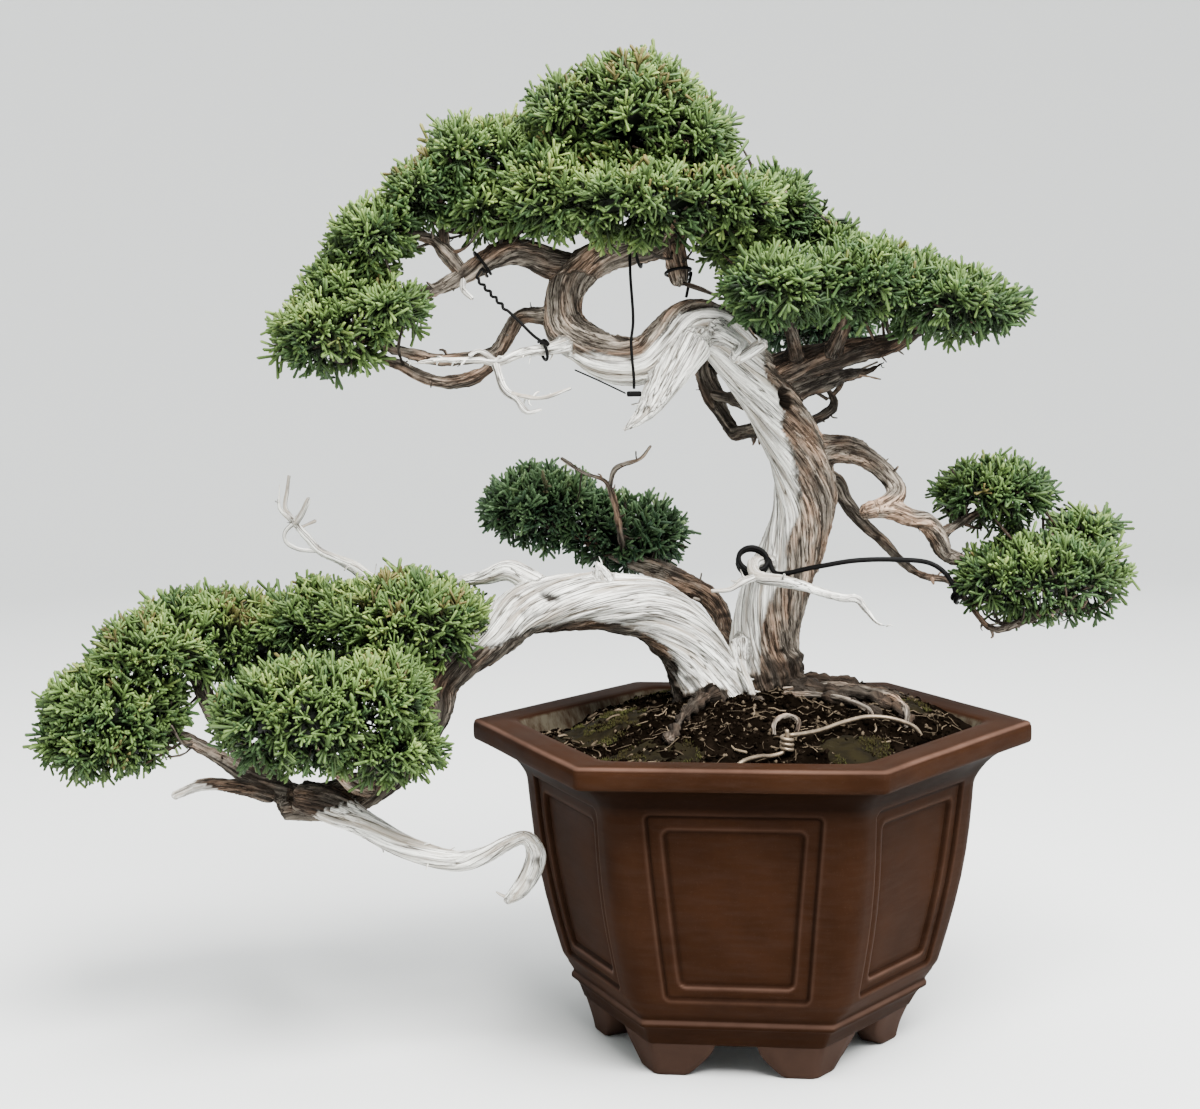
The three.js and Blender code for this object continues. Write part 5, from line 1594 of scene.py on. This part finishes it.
# Limbs that carry no spurs, limbs that carry no twigs to the pads, and starts of the names of roots.
WITHOUT_SPURS = ("main_trunk", "left_trunk", "ring_root")
WITHOUT_TWIGS = ("main_trunk", "left_trunk", "ring_root", "low_stub")
ROOT_NAMES = ("root", "fan")
# Spurs: how likely one is at each step along a limb, and the thickest limb that has them.
SPUR_CHANCE = 0.16
SPUR_HOST = 5.5


def spurs():
    """Short stubs of broken twigs, bare on the deadwood and barked on the branches."""
    rng = np.random.default_rng(SEED + 9)
    found = []
    for name, rows in LIMBS.items():
        if name in WITHOUT_SPURS or name.startswith((*ROOT_NAMES, "far_jin_")):
            continue
        line, _ = even_route(rows, 2)
        heading, across, side = frames_along(line[:, :3])
        for k in range(3, len(line) - 1):
            if rng.random() > SPUR_CHANCE or line[k, 3] > SPUR_HOST:
                continue
            turn = rng.uniform(0, FULL_TURN)
            out = math.cos(turn) * across[k] + math.sin(turn) * side[k]
            way = unit(out + heading[k] * rng.uniform(0.1, 0.9))
            long = line[k, 3] + rng.uniform(1.2, 4)
            thick = min(0.75, 0.5 * line[k, 3]) * rng.uniform(0.6, 1)
            start = line[k, :3] + out * line[k, 3] * 0.3
            bend = start + way * long * 0.6 + rng.normal(0, 0.3, 3)
            tip = start + way * long + rng.normal(0, 0.5, 3)
            kind = "bare_spur" if is_bare(name) or name == "low_stub" else name
            found.append((kind, [(*start, thick), (*bend, thick * 0.7), (*tip, thick * 0.35)], 1.2, 5))
    return found


def wood_finish(settings):
    """Bleached deadwood with drying cracks along its grain, and grey-brown bark in long rough strips."""
    bare, grain_color = tuple(settings.bare), tuple(settings.grain)
    bark, dark = tuple(settings.bark), tuple(settings.dark_bark)
    finish = Finish("Juniper wood", 0.72, 0.1)
    grain = finish.kept("grain", "Vector")
    bark_share = finish.kept("bark")

    def along_grain(across, along, detail, roughness):
        return finish.noise(finish.scaled(grain, (across, across, along)), 1, detail, roughness)

    streak = along_grain(0.9, 0.035, 5, 0.7)
    crack = along_grain(0.36, 0.014, 2, 0.5)
    bleached = finish.ramp(streak, [
        (0.3, bare, 0.1), (0.39, bare, 0.36), (0.47, bare, 0.85), (0.58, bare, 1.25),
    ])
    stained = along_grain(0.3, 0.014, 4, 0.6)
    bleached = finish.patched(bleached, stained, 0.5, 0.61, 0.75, tinted(grain_color, 1.7))
    bleached = finish.patched(bleached, along_grain(0.16, 0.03, 4, 0.65), 0.52, 0.64, 0.6, (0.2, 0.195, 0.18))
    hair = finish.lines(along_grain(0.85, 0.035, 2, 0.5), 0.03, 0.6)
    bleached = finish.mix(hair, bleached, tinted(grain_color, 0.6))
    bleached = finish.mix(finish.lines(crack, 0.035), bleached, tinted(grain_color, 0.25))
    flaky = along_grain(0.75, 0.05, 6, 0.72)
    fleck = along_grain(1.5, 0.45, 4, 0.7)
    fissure = along_grain(0.38, 0.03, 3, 0.6)
    barked = finish.ramp(flaky, [
        (0.34, bark, 0.07), (0.42, bark, 0.34), (0.49, bark), (0.57, bark, 1.9), (0.66, bark, 3.5),
    ])
    warm = finish.times(barked, (1.15, 0.8, 0.62))
    barked = finish.patched(barked, along_grain(0.1, 0.03, 3, 0.6), 0.46, 0.6, 0.75, warm)
    barked = finish.patched(barked, fleck, 0.57, 0.69, 0.5, tinted(bark, 3))
    barked = finish.mix(finish.lines(fissure, 0.04), barked, dark)
    # Each limb's own bark tone, with painted shade on the limbs and twigs under the pads.
    barked = finish.times(barked, finish.kept("tone"))
    both = finish.mix(bark_share, bleached, barked)
    shade = finish.ramp(finish.kept("shade"), [(0.1, 0.0), (1, 0.97)])
    finish.color(finish.mix(shade, both, tinted(dark, 0.8)))
    finish.rough(finish.mix(bark_share, (0.6, 0.6, 0.6), (0.9, 0.9, 0.9)))
    bark_bump = finish.mix(finish.lines(fissure, 0.05), finish.mix(0.4, flaky, fleck), (0, 0, 0))
    bare_bump = finish.mix(finish.lines(crack, 0.04), streak, (0, 0, 0))
    finish.bump(finish.mix(bark_share, bare_bump, bark_bump), 0.001, 0.9)
    return finish.material


# Limbs thicker than this are joined by one skin, and the finest ones have fewer sides. Radii.
JOINED_RADIUS = 3.3
FINEST_RADIUS = 1.6


class JUNIPER_OT_wood(bpy.types.Operator):
    """Makes the trunks, branches, deadwood and surface roots"""

    bl_idname = "juniper.wood"
    bl_label = "Wood"

    def execute(self, context):
        settings = context.scene.juniper.wood
        finish = wood_finish(settings)
        thickest = {name: max(row[3] for row in rows) for name, rows in LIMBS.items()}
        thick = [name for name in LIMBS if thickest[name] > JOINED_RADIUS]
        left = [name for name in thick if name in LEFT_SIDE_LIMBS]
        right = [name for name in thick if name not in LEFT_SIDE_LIMBS]
        thin = [
            (name, rows, 1.3, 10 if thickest[name] > FINEST_RADIUS else 7)
            for name, rows in LIMBS.items() if name not in thick
        ]
        parts = [
            ("wood_left", fused_wood, left), ("wood_right", fused_wood, right),
            ("fine_wood", fine_wood, thin + spurs()), ("pad_twigs", fine_wood, pad_twigs()),
        ]
        for name, made, limbs in parts:
            piece(name, made(name, limbs, settings), finish, "juniper_wood", "tree_wood")
        return {"FINISHED"}


# Foliage

# How far neighbouring lobes are drawn together into one rounded mass, how far apart the tufts on it are
# and how far a tuft reaches from its middle.
BLEND = 3.6
TUFT_GAP = 14
TUFT_REACH = 9
# The layers of sprays: how much deeper each is rooted, its share of the sprays and how much painted light
# they keep, less for the deeper layer, painted as in shade.
SPRAY_LAYERS = [(0, 1, 1), (6.5, 0.3, 0.5)]
SPRAY_KINDS = 16
SQUARE_CENTIMETRE = 100
# How deep sprays are rooted under the skin of their pad.
ROOT_DEPTH = 8.1
# Pads whose tops are browned by the sun, and how strongly.
BROWNED = {
    "crown_top": 0.5, "crown_front": 0.25, "crown_left": 0.4, "crown_back": 0.4,
    "left_shoulder": 0.4, "low_far_left": 0.45, "low_back": 0.6, "low_inner": 0.6,
}


def blended_gap(points, lobes):
    """Roughly how far each point lies outside the mass that the lobes make together."""
    place = (points[:, None] - lobes[None, :, :3]) / lobes[None, :, 3:]
    size = np.linalg.norm(place, axis=2)
    slope = np.linalg.norm(place / lobes[None, :, 3:], axis=2)
    gaps = size * (size - 1) / np.maximum(slope, 1e-6)
    return -BLEND * np.log(np.exp(-gaps / BLEND).sum(axis=1)), gaps


def slope_of(points, lobes):
    """The way in which the gap to the mass grows fastest, and how fast."""
    here, _ = blended_gap(points, lobes)
    ahead = [blended_gap(points + step, lobes)[0] for step in 0.5 * np.eye(3)]
    return np.column_stack([gap - here for gap in ahead]) / 0.5


def settled(points, lobes):
    """Points moved onto the skin of the mass, and the outward direction at each."""
    for _ in range(3):
        gap, _ = blended_gap(points, lobes)
        slope = slope_of(points, lobes)
        points = points - slope * (gap / np.maximum((slope**2).sum(axis=1), 0.05))[:, None]
    return points, unit(slope_of(points, lobes))


def lobe_points(rng, lobe, density):
    """Even random points on a lobe and the outward direction at each."""
    axes = np.array(lobe[3:], float)
    a, b, c = axes
    widest = a * b * c / axes.min()
    count = int(density * 4 * math.pi * widest)
    k = np.arange(count) + 0.5
    rise = 1 - 2 * k / count
    turn = math.pi * (1 + math.sqrt(5)) * k + rng.uniform(0, FULL_TURN)
    flat = np.sqrt(1 - rise**2)
    even = np.column_stack([flat * np.cos(turn), flat * np.sin(turn), rise])
    ways = unit(even + rng.normal(0, 0.035, (count, 3)))
    spread = np.linalg.norm(ways / axes, axis=1) * a * b * c
    kept = rng.random(count) < spread / widest
    ways = ways[kept]
    return np.array(lobe[:3]) + ways * axes, unit(ways / axes)


# Stations of the shoots of a spray: share of the length and share of the radius.
MAIN_SHOOT = [(0, 0.75), (0.93, 1)]
SIDE_SHOOT = [(0, 0.8), (0.9, 1)]


def finger(start, heading, length, radius, bow, stations):
    """A three-sided rope-like shoot: points, faces, reach along it and side of each point."""
    heading = unit(np.array(heading, float))
    across = unit(np.cross(heading, [0.31, 0.17, 0.94]))
    aside = np.cross(heading, across)
    points = []
    reach = []
    sides = []
    for share, width in stations:
        middle = start + heading * length * share + across * bow * length * share**2
        for k in range(3):
            angle = FULL_TURN * k / 3
            points.append(middle + (across * math.cos(angle) + aside * math.sin(angle)) * radius * width)
            reach.append(share)
            sides.append(k - 1)
    points.append(start + heading * length + across * bow * length)
    reach.append(1)
    sides.append(0)
    faces = []
    for ring in range(len(stations) - 1):
        for k in range(3):
            low, after = 3 * ring + k, 3 * ring + (k + 1) % 3
            faces += [(low, after, after + 3), (low, after + 3, low + 3)]
    last = 3 * (len(stations) - 1)
    faces += [(last + k, last + (k + 1) % 3, last + 3) for k in range(3)]
    return np.array(points), np.array(faces), np.array(reach), np.array(sides)


def spray_shape(rng, length, radius):
    """A leaf spray that grows along +Z: a middle shoot with side shoots in a loose fan. Points, faces, and
    for each point its reach, its side and the number of its shoot."""
    spray = Gathered()
    sway = np.array([rng.normal(0, 0.15), rng.normal(0, 0.15), 1])
    bow = rng.uniform(-0.15, 0.15)
    points, faces, reach, sides = finger(np.zeros(3), sway, length, radius, bow, MAIN_SHOOT)
    spray.add(points, [faces], reach=reach, side=sides, number=0.0)
    count = rng.integers(3, 6)
    for k in range(count):
        share = 0.2 + 0.55 * (k + rng.uniform(0, 0.6)) / count
        lean = math.radians(rng.uniform(26, 58))
        turn = (k % 2) * math.pi + rng.normal(0, 0.7)
        heading = (math.sin(lean) * math.cos(turn), math.sin(lean) * math.sin(turn), math.cos(lean))
        start = unit(sway) * length * share
        long = length * rng.uniform(0.42, 0.7)
        points, faces, reach, sides = finger(start, heading, long, radius * 0.95, 0, SIDE_SHOOT)
        spray.add(points, [faces], reach=share + (1 - share) * reach, side=sides, number=k + 1.0)
    return spray.all_points(), np.vstack(spray.faces), *spray.all_values().values()


def growth(normals, away, rng, loose):
    """The way that sprays grow: outwards and up, spread round the middle of their tuft."""
    lifted = normals.copy()
    under = normals[:, 2] < 0
    lifted[under, 2] *= 0.6
    noise = rng.normal(0, loose, normals.shape)
    return unit(unit(lifted) * 0.85 + 0.6 * away + np.array([0, 0, 0.2]) + noise)


def tuft_middles(rng, points):
    """Places on a pad, each a good way from the others, that the sprays round them spread from."""
    middles = points[:1]
    for point in points[rng.permutation(len(points))]:
        if ((middles - point) ** 2).sum(axis=1).min() > TUFT_GAP**2:
            middles = np.vstack([middles, point])
    return middles


def leaf_tones(name, points, normals, rng):
    """Where each spray's colour lies between deep green, light green and sun-browned."""
    # Sprays that face up are made lighter: painted light on the tops of the pads.
    tone = 0.45 + 0.15 * clouds(points / 24, 61) + 0.13 * clouds(points / 9, 62) + 0.12 * normals[:, 2]
    tone += rng.normal(0, 0.11, len(points)) - 0.13 * name.startswith("right")
    browned = clouds(points / 13, 63) + 0.5 * clouds(points / 6, 64) + 0.9 * normals[:, 2]
    chosen = rng.random(len(points)) < BROWNED.get(name, 0.06) * blend_between(0.6, 1.2, browned)
    return np.where(chosen, rng.uniform(0.77, 0.98, len(points)), np.clip(tone, 0.02, 0.74))


def pad_skin(name, density, rng):
    """Random points on the skin of a pad where its neighbours leave it free, and the outward directions."""
    group = [pad for pad in PADS if (pad in SHADED_PADS) == (name in SHADED_PADS)]
    lobes = np.array([lobe for pad in group for lobe in PADS[pad]], float)
    found = []
    for lobe in PADS[name]:
        points, _ = lobe_points(rng, lobe, density)
        _, gaps = blended_gap(points, lobes)
        own = np.where((lobes == np.array(lobe)).all(axis=1))[0][0]
        gaps[:, own] = 0
        found.append(points[gaps.min(axis=1) > -1.5])
    points, normals = settled(np.vstack(found), lobes)
    free = rng.random(len(points)) < np.where(normals[:, 2] < -0.35, 0.62, 1)
    return points[free], normals[free]


def spray_places(name, settings, rng):
    """Where sprays are rooted on a pad: places, directions, tone, painted light and size of each."""
    found = []
    middles = None
    for depth, share, painted_light in SPRAY_LAYERS:
        points, normals = pad_skin(name, settings.density / SQUARE_CENTIMETRE * share, rng)
        middles = tuft_middles(rng, points) if middles is None else middles
        away = points[:, None] - middles[None]
        nearest = (away**2).sum(axis=2).argmin(axis=1)
        away = away[np.arange(len(points)), nearest] / TUFT_REACH
        edge = np.clip((away**2).sum(axis=1), 0, 1)
        clump = 1.7 * clouds(points / 15, 51) + clouds(points / 6.5, 52)
        sink = ROOT_DEPTH + 1.3 * normals[:, 2] + depth + 2.6 * edge
        size = rng.uniform(0.8, 1.15, len(points)) * np.where(rng.random(len(points)) < 0.05, 1.25, 1)
        roots = points + normals * (clump - sink)[:, None]
        ways = growth(normals, away, rng, 0.27)
        # Sprays near a tuft's edge keep less painted light, as in shade between the tufts.
        found.append((roots, ways, leaf_tones(name, points, normals, rng), painted_light * (1 - 0.35 * edge), size))
    return [np.concatenate(column) for column in zip(*found)]


def shade_core(name, gathered):
    """A dark shell in the middle of a pad, painted as the shade that shows between the sprays."""
    for lobe in PADS[name]:
        centre, axes = np.array(lobe[:3], float), np.array(lobe[3:], float)
        tilts = math.pi * np.arange(1, 10) / 10
        rings = [level_ring(math.sin(tilt), all_round(18), -math.cos(tilt)) for tilt in tilts]
        ways, faces = closed(rings, (0, 0, -1), (0, 0, 1))
        shrink = (1 - 13 / axes).clip(0.12, 0.75)
        points = centre + ways * axes * shrink
        points += ways * (2.2 * clouds(points / 5, 71))[:, None]
        gathered.add(points, faces, tone=0.3, reach=0.03)


def pad_mesh(name, shapes, settings, rng):
    """All the sprays of one pad, and the dark shell of painted shade in its middle."""
    gathered = Gathered()
    root, way, tone, painted_light, size = spray_places(name, settings, rng)
    count = len(root)
    kind = rng.integers(0, len(shapes), count)
    fan = unit(np.cross(way, rng.normal(0, 1, (count, 3))))
    turn = np.stack([fan, np.cross(way, fan), way], axis=-1) * size[:, None, None]
    for number, (points, faces, reach, side, shoot) in enumerate(shapes):
        mine = kind == number
        total = int(mine.sum())
        if not total:
            continue
        placed = np.einsum("nij,vj->nvi", turn[mine], points) + root[mine][:, None]
        stepped = faces[None] + len(points) * np.arange(total)[:, None, None]
        own = np.sin(shoot[None] * 12.9 + np.arange(total)[:, None] * 4.1) * 0.09
        own *= tone[mine][:, None] < 0.75
        tones = tone[mine][:, None] + own + side[None] * 0.006
        reaches = reach[None] * painted_light[mine][:, None]
        values = {"tone": tones.ravel(), "reach": reaches.ravel()}
        gathered.add(placed.reshape(-1, 3), [stepped.reshape(-1, 3)], **values)
    shade_core(name, gathered)
    return swatch_mesh(f"foliage_{name}_sprays", gathered)


def leaf_finish(settings, name, cast=(1, 1, 1)):
    """Scale-leaf shoots: colour by shoot, painted shade towards the foot and light at the tip."""
    greens = [tuple(settings.light), tuple(settings.middle), tuple(settings.deep), tuple(settings.ochre)]
    light, middle, deep, ochre = [tuple(np.array(green) * cast) for green in greens]
    finish = Finish(name, 0.5, 0.15)
    tone, reach = finish.swatch()
    body = finish.ramp(tone, [
        (0, deep), (0.2, deep, 1.8), (0.42, middle), (0.6, middle, 1.6), (0.72, light),
        (0.78, light, 1.1), (0.86, ochre), (1, ochre, 0.7),
    ])
    # Painted shade: each shoot darkens towards its foot, deep in the pad.
    depth = finish.ramp(reach, [(0, 0.04), (0.3, 0.18), (0.58, 0.72), (0.78, 1.0), (1, 1.0)])
    shoots_in_painted_shade = finish.times(body, depth)
    tip = finish.times(body, (2, 1.75, 2))
    finish.color(finish.mix(finish.ramp(reach, [(0.74, 0.0), (1, 0.9)]), shoots_in_painted_shade, tip))
    return finish.material


# Twigs to a square millimetre of a pad's lobes, and the shortest and the longest of them.
TWIG_DENSITY = 0.0055
TWIG_LENGTHS = (4, 30)


def twig_anchors():
    """Places on the thin live limbs, with the radius at each."""
    anchors = []
    for name, rows in LIMBS.items():
        if is_bare(name) or name in WITHOUT_TWIGS or name.startswith(ROOT_NAMES):
            continue
        line, _ = even_route(rows, 4)
        anchors.append(line[line[:, 3] < 5])
    return np.vstack(anchors)


def pad_twigs():
    """Thin twigs from the branches out to the foliage."""
    rng = np.random.default_rng(SEED + 5)
    anchors = twig_anchors()
    tree = KDTree(len(anchors))
    for number, row in enumerate(anchors):
        tree.insert(row[:3], number)
    tree.balance()
    twigs = []
    for lobe in (lobe for lobes in PADS.values() for lobe in lobes):
        points, normals = lobe_points(rng, lobe, TWIG_DENSITY)
        low = (normals[:, 2] < 0.2) | (rng.random(len(points)) < 0.2)
        for point, normal in zip(points[low], normals[low]):
            end = point - normal * (rng.uniform(1, 6) if rng.random() < 0.8 else -1)
            _, number, gap = tree.find(end + rng.normal(0, 6, 3))
            if not TWIG_LENGTHS[0] <= gap <= TWIG_LENGTHS[1]:
                continue
            start, radius = anchors[number, :3], anchors[number, 3]
            middle = (start + end) / 2 + rng.normal(0, 0.09, 3) * gap - np.array([0, 0, 0.1 * gap])
            thick = min(radius * 0.5, 0.7)
            twigs.append(("twig", [(*start, thick), (*middle, thick * 0.8), (*end, 0.32)], 3.2, 4))
    return twigs


class JUNIPER_OT_foliage(bpy.types.Operator):
    """Makes the leaf sprays of every pad"""

    bl_idname = "juniper.foliage"
    bl_label = "Foliage"

    def execute(self, context):
        settings = context.scene.juniper.foliage
        rng = np.random.default_rng(SEED + 1)
        length, radius = settings.length / MM, settings.thickness / MM
        shapes = [spray_shape(rng, length, radius) for _ in range(SPRAY_KINDS)]
        looks = {
            False: (leaf_finish(settings, "Scale leaves"), "leaf"),
            True: (leaf_finish(settings, "Shaded scale leaves", SHADE_CAST), "leaf_shade"),
        }
        for name in PADS:
            finish, slot = looks[name in SHADED_PADS]
            mesh = pad_mesh(name, shapes, settings, rng)
            piece(mesh.name, mesh, finish, slot, "foliage_" + name)
        return {"FINISHED"}


# Wires, drain mesh and guy pad

# Radii of the wires: guy and hook, ring and shaping, tie, return line and clip.
GUY = 0.7
RING = 1.15
TIE = 0.95
LINE = 0.4
CLIP = 0.6
TURN_STEPS = 12


def turns_round(centre, axis, radius, turns, rise, start):
    """Points of a wire that turns round an axis."""
    along = unit(np.array(axis, float))
    out = np.array(start, float)
    out = unit(out - along * (out @ along))
    side = np.cross(along, out)
    steps = np.arange(round(abs(turns) * TURN_STEPS) + 1)
    angle = math.copysign(FULL_TURN, turns) * steps / TURN_STEPS
    climb = rise * steps / TURN_STEPS
    turned = radius * (np.cos(angle)[:, None] * out + np.sin(angle)[:, None] * side)
    return [tuple(point) for point in np.array(centre) + turned + climb[:, None] * along]


def twisted(start, end, radius, turns):
    """Points of a wire that is twisted round its own way from start to end."""
    start = np.array(start, float)
    way = np.array(end) - start
    return turns_round(start, way, radius, turns, np.linalg.norm(way) / turns, (0, 1, 0))


# The knot of the tie wire, the height of its run under the floor, and the heights of the clip.
KNOT = (14, -60)
KNOT_LOW = 144.2
KNOT_HIGH = 152
UNDER_FLOOR = 13.35
CLIP_HIGH = 27.6
CLIP_LOW = 13.3
# One half of the clip, from its tip to its back: distance from the middle and height.
CLIP_HALF = [
    (20, CLIP_LOW), (13, CLIP_LOW), (10.5, CLIP_LOW + 3), (10.5, FLOOR_TOP), (10.5, CLIP_HIGH - 1),
    (8.4, CLIP_HIGH),
]

# The wires: radius, look and route from end to end.
WIRE_ROUTES = {
    "guy_wire_left": (GUY, "black", [
        *turns_round((-115, -2.4, 355), (-11, -1, -7), 6, 1.25, 1.9, (0, 0.3, -1)),
        *twisted((-118, -11, 348), (-105, -15, 334), 0.6, 5), (-99, -16, 328.5), (-92.5, -17, 322),
        *turns_round((-87.5, -11.8, 316.1), (-14, -6, -3), 4.4, 1.25, 1.8, (0, -1, 0.4)),
    ]),
    "guy_wire_centre": (GUY, "black", [
        *turns_round((-45.5, 0.8, 361.3), (-11, 2, -2), 9.1, -1.25, 1.7, (0, 1, 0.2)),
        (-50, -12, 350), (-49, -15, 328), (-50, -16, 319), (-49, -16.5, 303), (-49, -16.5, 298.6),
    ]),
    "return_wire": (LINE, "black", [(-52.8, -17, 296.5), (-64, -15.5, 302), (-75, -12.5, 307)]),
    "hook_wire": (GUY, "black", [
        *turns_round((-28.5, -5.1, 348.6), (-0.1, 0.22, 1), 5.7, 1.25, 1.7, (1, 0, 0))[::-1],
        (-24, -7, 344), (-25, -3, 338.6),
    ]),
    "ring_wire": (RING, "black", [
        *turns_round((5, 16.5, 216.5), (0.1, -0.75, 0.62), 6.8, 2.5, 1.9, (-1, 0, 0)),
        (15, 8, 213), (32, 2, 216), (50, 0, 219), (69, 2, 219), (85, 3, 217), (92, 1, 212),
        *turns_round((98.5, 4.8, 203.4), (9, -8, -12), 4, 1.25, 2.2, (-0.6, -0.8, 0.1)),
    ]),
    "shaping_wire": (RING, "black", turns_round((-12.4, 66.6, 305.5), (5, 4, 13), 6.4, 2.5, 3.4, (0, -1, 0))),
    "tie_wire": (TIE, "pale", [
        (*KNOT, KNOT_HIGH + 1), (*KNOT, KNOT_LOW + 3), (KNOT[0] - 1.5, KNOT[1] - 1, KNOT_LOW - 0.4),
        (7, -64, 142.6), (1, -69, 143.4), (-7, -77, 142.4), (-12, -80, 137), (-18, -66, 95), (-28, -36, 45),
        (*TIE_HOLES[0], 30), (*TIE_HOLES[0], 17), (TIE_HOLES[0][0] + 3, TIE_HOLES[0][1], UNDER_FLOOR),
        (TIE_HOLES[1][0] - 3, TIE_HOLES[1][1], UNDER_FLOOR), (*TIE_HOLES[1], 17), (*TIE_HOLES[1], 30),
        (44, -32, 45), (66, -32, 95), (77, -32, 136), (74, -32, 147), (64, -33, 152), (52, -34, 153.5),
        (41, -40, 152.5), (28, -50, 150.5),
        *turns_round((*KNOT, KNOT_HIGH - 1.5), (0, 0, -1), 2.3, -3, 2.1, (1, 0.6, 0)),
    ]),
    "mesh_clip": (CLIP, "pale", [
        *((-x, 3.5, z) for x, z in CLIP_HALF), (0, 3.5, CLIP_HIGH),
        *((x, 3.5, z) for x, z in CLIP_HALF[::-1]),
    ]),
}


def wire_finish(name, color, metallic, roughness):
    """Drawn wire, with slightly uneven tone and sheen along it."""
    finish = Finish(name, roughness, 0.05, metallic)
    place = finish.place()
    patch = finish.noise(place, 260, 3, 0.6)
    finish.color(finish.ramp(patch, [(0.3, color, 0.7), (0.6, color), (0.8, color, 1.4)]))
    finish.rough(finish.ramp(patch, [(0.3, roughness * 0.8), (0.7, min(1, roughness * 1.3))]))
    finish.bump(finish.noise(place, 2500, 2, 0.5), 0.00005, 0.4)
    return finish.material


def rounded_pad(name, node, inset):
    """A small block with soft edges that fills a CAD node's box."""
    low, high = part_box(node)
    bm = bmesh.new()
    filling = Matrix.Translation((low + high) / 2) @ Matrix.Diagonal((*(high - low), 1))
    bmesh.ops.create_cube(bm, size=1, matrix=filling)
    bmesh.ops.bevel(bm, geom=bm.edges[:], offset=inset, segments=3, profile=0.5, affect="EDGES")
    mesh = bpy.data.meshes.new(name)
    bm.to_mesh(mesh)
    bm.free()
    mesh.shade_smooth()
    return mesh


class JUNIPER_OT_wires(bpy.types.Operator):
    """Makes all the wires, the tie wire's knot, the clip in the pot and the small black pad"""

    bl_idname = "juniper.wires"
    bl_label = "Wires"

    def execute(self, context):
        settings = context.scene.juniper.wire
        looks = {
            "black": (wire_finish("Black wire", tuple(settings.black), 0, 0.45), "black_wire"),
            "pale": (wire_finish("Pale wire", tuple(settings.pale), 0.75, 0.42), "pale_wire"),
        }
        for name, (radius, look, route) in WIRE_ROUTES.items():
            points, faces, _ = tube([(*place, radius) for place in route], 1, 8)
            finish, slot = looks[look]
            piece(name + "_line", mesh_of(name + "_line", points, faces), finish, slot, name)
        rubber = wire_finish("Black pad", (0.004, 0.004, 0.004), 0, 0.8)
        block = rounded_pad("guy_pad_block", "guy_pad", 0.0007)
        piece("guy_pad_block", block, rubber, "black_pad", "guy_pad")
        return {"FINISHED"}


class JUNIPER_OT_drain(bpy.types.Operator):
    """Gives the drain mesh its plastic finish"""

    bl_idname = "juniper.drain"
    bl_label = "Drain mesh"

    def execute(self, context):
        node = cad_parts["drain_mesh"]
        node.data.materials.clear()
        node.data.materials.append(wire_finish("Mesh plastic", (0.02, 0.022, 0.022), 0, 0.5))
        return {"FINISHED"}


class JUNIPER_PT_sidebar(bpy.types.Panel):
    """Lists the pieces of the tree and their sizes and colours"""

    bl_idname = "JUNIPER_PT_sidebar"
    bl_label = "Juniper bonsai"
    bl_space_type = "VIEW_3D"
    bl_region_type = "UI"
    bl_category = "Juniper"

    def draw(self, context):
        for title, operators, group in SECTIONS:
            box = self.layout.box()
            box.label(text=title)
            settings = getattr(context.scene.juniper, group)
            for name in settings.__annotations__:
                box.prop(settings, name)
            for operator in operators:
                box.operator(operator.bl_idname)


SECTIONS = [
    ("Stage", [JUNIPER_OT_stage], "stage"),
    ("Pot", [JUNIPER_OT_pot, JUNIPER_OT_drain], "pot"),
    ("Soil", [JUNIPER_OT_soil], "soil"),
    ("Wood", [JUNIPER_OT_wood], "wood"),
    ("Wires", [JUNIPER_OT_wires], "wire"),
    ("Foliage", [JUNIPER_OT_foliage], "foliage"),
]
CLASSES = [
    PotSettings, WoodSettings, FoliageSettings, SoilSettings, WireSettings, StageSettings, JuniperSettings,
    JUNIPER_OT_stage, JUNIPER_OT_pot, JUNIPER_OT_drain, JUNIPER_OT_soil, JUNIPER_OT_wood, JUNIPER_OT_wires,
    JUNIPER_OT_foliage, JUNIPER_PT_sidebar,
]


def register():
    for made in CLASSES:
        bpy.utils.register_class(made)
    bpy.types.Scene.juniper = PointerProperty(type=JuniperSettings)


def unregister():
    del bpy.types.Scene.juniper
    for made in reversed(CLASSES):
        bpy.utils.unregister_class(made)


def main():
    """Builds the whole tree, its pot, soil and wires, and the stage round it."""
    register()
    bpy.ops.juniper.stage()
    bpy.ops.juniper.pot()
    bpy.ops.juniper.drain()
    bpy.ops.juniper.soil()
    bpy.ops.juniper.wood()
    bpy.ops.juniper.wires()
    bpy.ops.juniper.foliage()
    bpy.context.view_layer.update()


if __name__ == "__main__":
    main()
